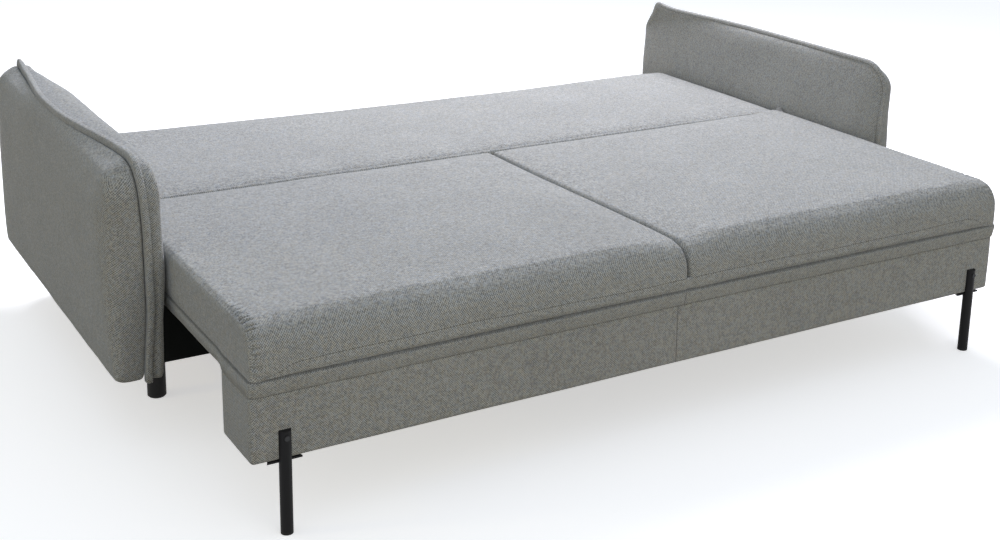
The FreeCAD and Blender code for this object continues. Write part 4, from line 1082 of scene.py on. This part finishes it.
class SOFA_OT_hardware(bpy.types.Operator):
    """Paint the chest, legs, frames and slide hardware that the frame brings along"""

    bl_idname = "sofa.hardware"
    bl_label = "Chest, legs and hardware"

    def execute(self, context):
        slots = {part["node"]: part["material_slot"] for part in frame["record"]["subparts"]}
        for name, obj in frame["nodes"].items():
            if not obj.material_slots:
                obj.data.materials.append(None)
            finish = "dull_steel" if name == "leg_screws" else slots[name]
            for place in obj.material_slots:
                place.material = finish_of(context, finish)
        return {"FINISHED"}


class SOFA_OT_stage(bpy.types.Operator):
    """Set the pale floor, the studio light and the camera"""

    bl_idname = "sofa.stage"
    bl_label = "Stage"

    def execute(self, context):
        self.floor(context)
        self.world(context)
        self.lamps()
        self.camera(context)
        context.scene.view_settings.view_transform = "Standard"
        return {"FINISHED"}

    def floor(self, context):
        """Pale floor, which glows only where it is seen."""
        pale = context.scene.sofa_looks.floor
        alone()
        bpy.ops.mesh.primitive_plane_add(size=60, location=(0, 0, -0.0004))
        obj = named(bpy.context.object, "studio_floor")
        finish = Finish("studio floor")
        seen = shown_ray(finish)
        base = finish.mix(seen, (0.34, 0.31, 0.25), pale)
        glow = finish.mix(seen, (0, 0, 0), shade(pale, 0.585))
        finish.skin({"Base Color": base, "Roughness": 0.9, "Specular IOR Level": 0, "Emission Color": glow,
                     "Emission Strength": 1})
        obj.data.materials.append(finish.owner)

    def world(self, context):
        """Background that is seen white and lights the sofa warm from below and cool from above."""
        finish = Finish("studio", "worlds")
        context.scene.world = finish.owner
        seen = shown_ray(finish)
        direction = finish.node("TexCoord", {}, "Generated")
        up = finish.parts(direction)[2]
        sky = finish.mix((up * 1.2 + 0.1).clamped(), (0.47, 0.44, 0.37), (0.42, 0.47, 0.55))
        background = finish.node("Background", {"Color": finish.mix(seen, sky, UNIT), "Strength": 1})
        finish.node("OutputWorld", {"Surface": background})

    def lamps(self):
        """A cool lamp over the rear, and two weaker warm ones in front and at the left."""
        self.panel("overhead light", (1.25, 1.9, 2.7), (0, 0.2, 0.4), (1.8, 1.2), 120, (0.96, 0.93, 1))
        self.panel("front light", (-0.3, -4.6, 1.2), (0, -0.5, 0.25), (3, 1), 29, (1, 0.93, 0.78))
        self.panel("side light", (-4.2, 0.4, 1.6), (0, -0.1, 0.4), (0.4, 0.4), 9, (1, 0.82, 0.40))

    def panel(self, name, place, aim, size, energy, colour):
        """Soft rectangular lamp that points at a place."""
        alone()
        bpy.ops.object.light_add(type="AREA", location=place)
        lamp = bpy.context.object
        lamp.name = name
        lamp.data.shape = "RECTANGLE"
        lamp.data.size, lamp.data.size_y = size
        lamp.data.energy = energy
        lamp.data.color = colour
        lamp.rotation_euler = (Vector(place) - Vector(aim)).to_track_quat("Z", "Y").to_euler()

    def camera(self, context):
        """Camera of the photo, fitted to the straight edges in it."""
        alone()
        bpy.ops.object.camera_add()
        obj = bpy.context.object
        obj.name = "photo view"
        yaw, pitch, roll = (math.radians(angle) for angle in (31.723, 15.084, 1.340))
        place = Matrix.Translation((-1.838, -3.146, 1.488))
        for angle, axis in ((-yaw, "Z"), (math.pi / 2 - pitch, "X"), (roll, "Z")):
            place = place @ Matrix.Rotation(angle, 4, axis)
        obj.matrix_world = place
        obj.data.sensor_width = 36.0
        obj.data.lens = 52.76
        obj.data.shift_x = -0.0419
        obj.data.shift_y = -0.1388
        obj.data.clip_end = 200
        context.scene.camera = obj


def shown_ray(finish):
    """1 for rays that show the background itself: camera, mirrored and clear rays."""
    rays = [finish.node("LightPath", {}, name)
            for name in ("Is Camera Ray", "Is Glossy Ray", "Is Transmission Ray")]
    return (rays[0] + rays[1] + rays[2]).clamped()


STEPS = (
    SOFA_OT_hardware,
    SOFA_OT_seat_cushions,
    SOFA_OT_seat_border,
    SOFA_OT_apron,
    SOFA_OT_backrest,
    SOFA_OT_arms,
    SOFA_OT_stage,
)


class SOFA_PT_panel(bpy.types.Panel):
    """Sizes, colours and steps of the sofa bed"""

    bl_idname = "SOFA_PT_panel"
    bl_label = "Sofa bed"
    bl_space_type = "VIEW_3D"
    bl_region_type = "UI"
    bl_category = "Sofa bed"

    def draw(self, context):
        for group in (context.scene.sofa_sizes, context.scene.sofa_looks):
            box = self.layout.box()
            for name in group.__annotations__:
                box.prop(group, name)
        for step in STEPS:
            self.layout.operator(step.bl_idname)


CLASSES = (SofaSizes, SofaLooks, *STEPS, SOFA_PT_panel)


def register():
    for item in CLASSES:
        bpy.utils.register_class(item)
    bpy.types.Scene.sofa_sizes = PointerProperty(type=SofaSizes)
    bpy.types.Scene.sofa_looks = PointerProperty(type=SofaLooks)


def unregister():
    del bpy.types.Scene.sofa_looks
    del bpy.types.Scene.sofa_sizes
    for item in reversed(CLASSES):
        bpy.utils.unregister_class(item)


def main():
    register()
    for step in STEPS:
        group, name = step.bl_idname.split(".")
        getattr(getattr(bpy.ops, group), name)()


if __name__ == "__main__":
    main()
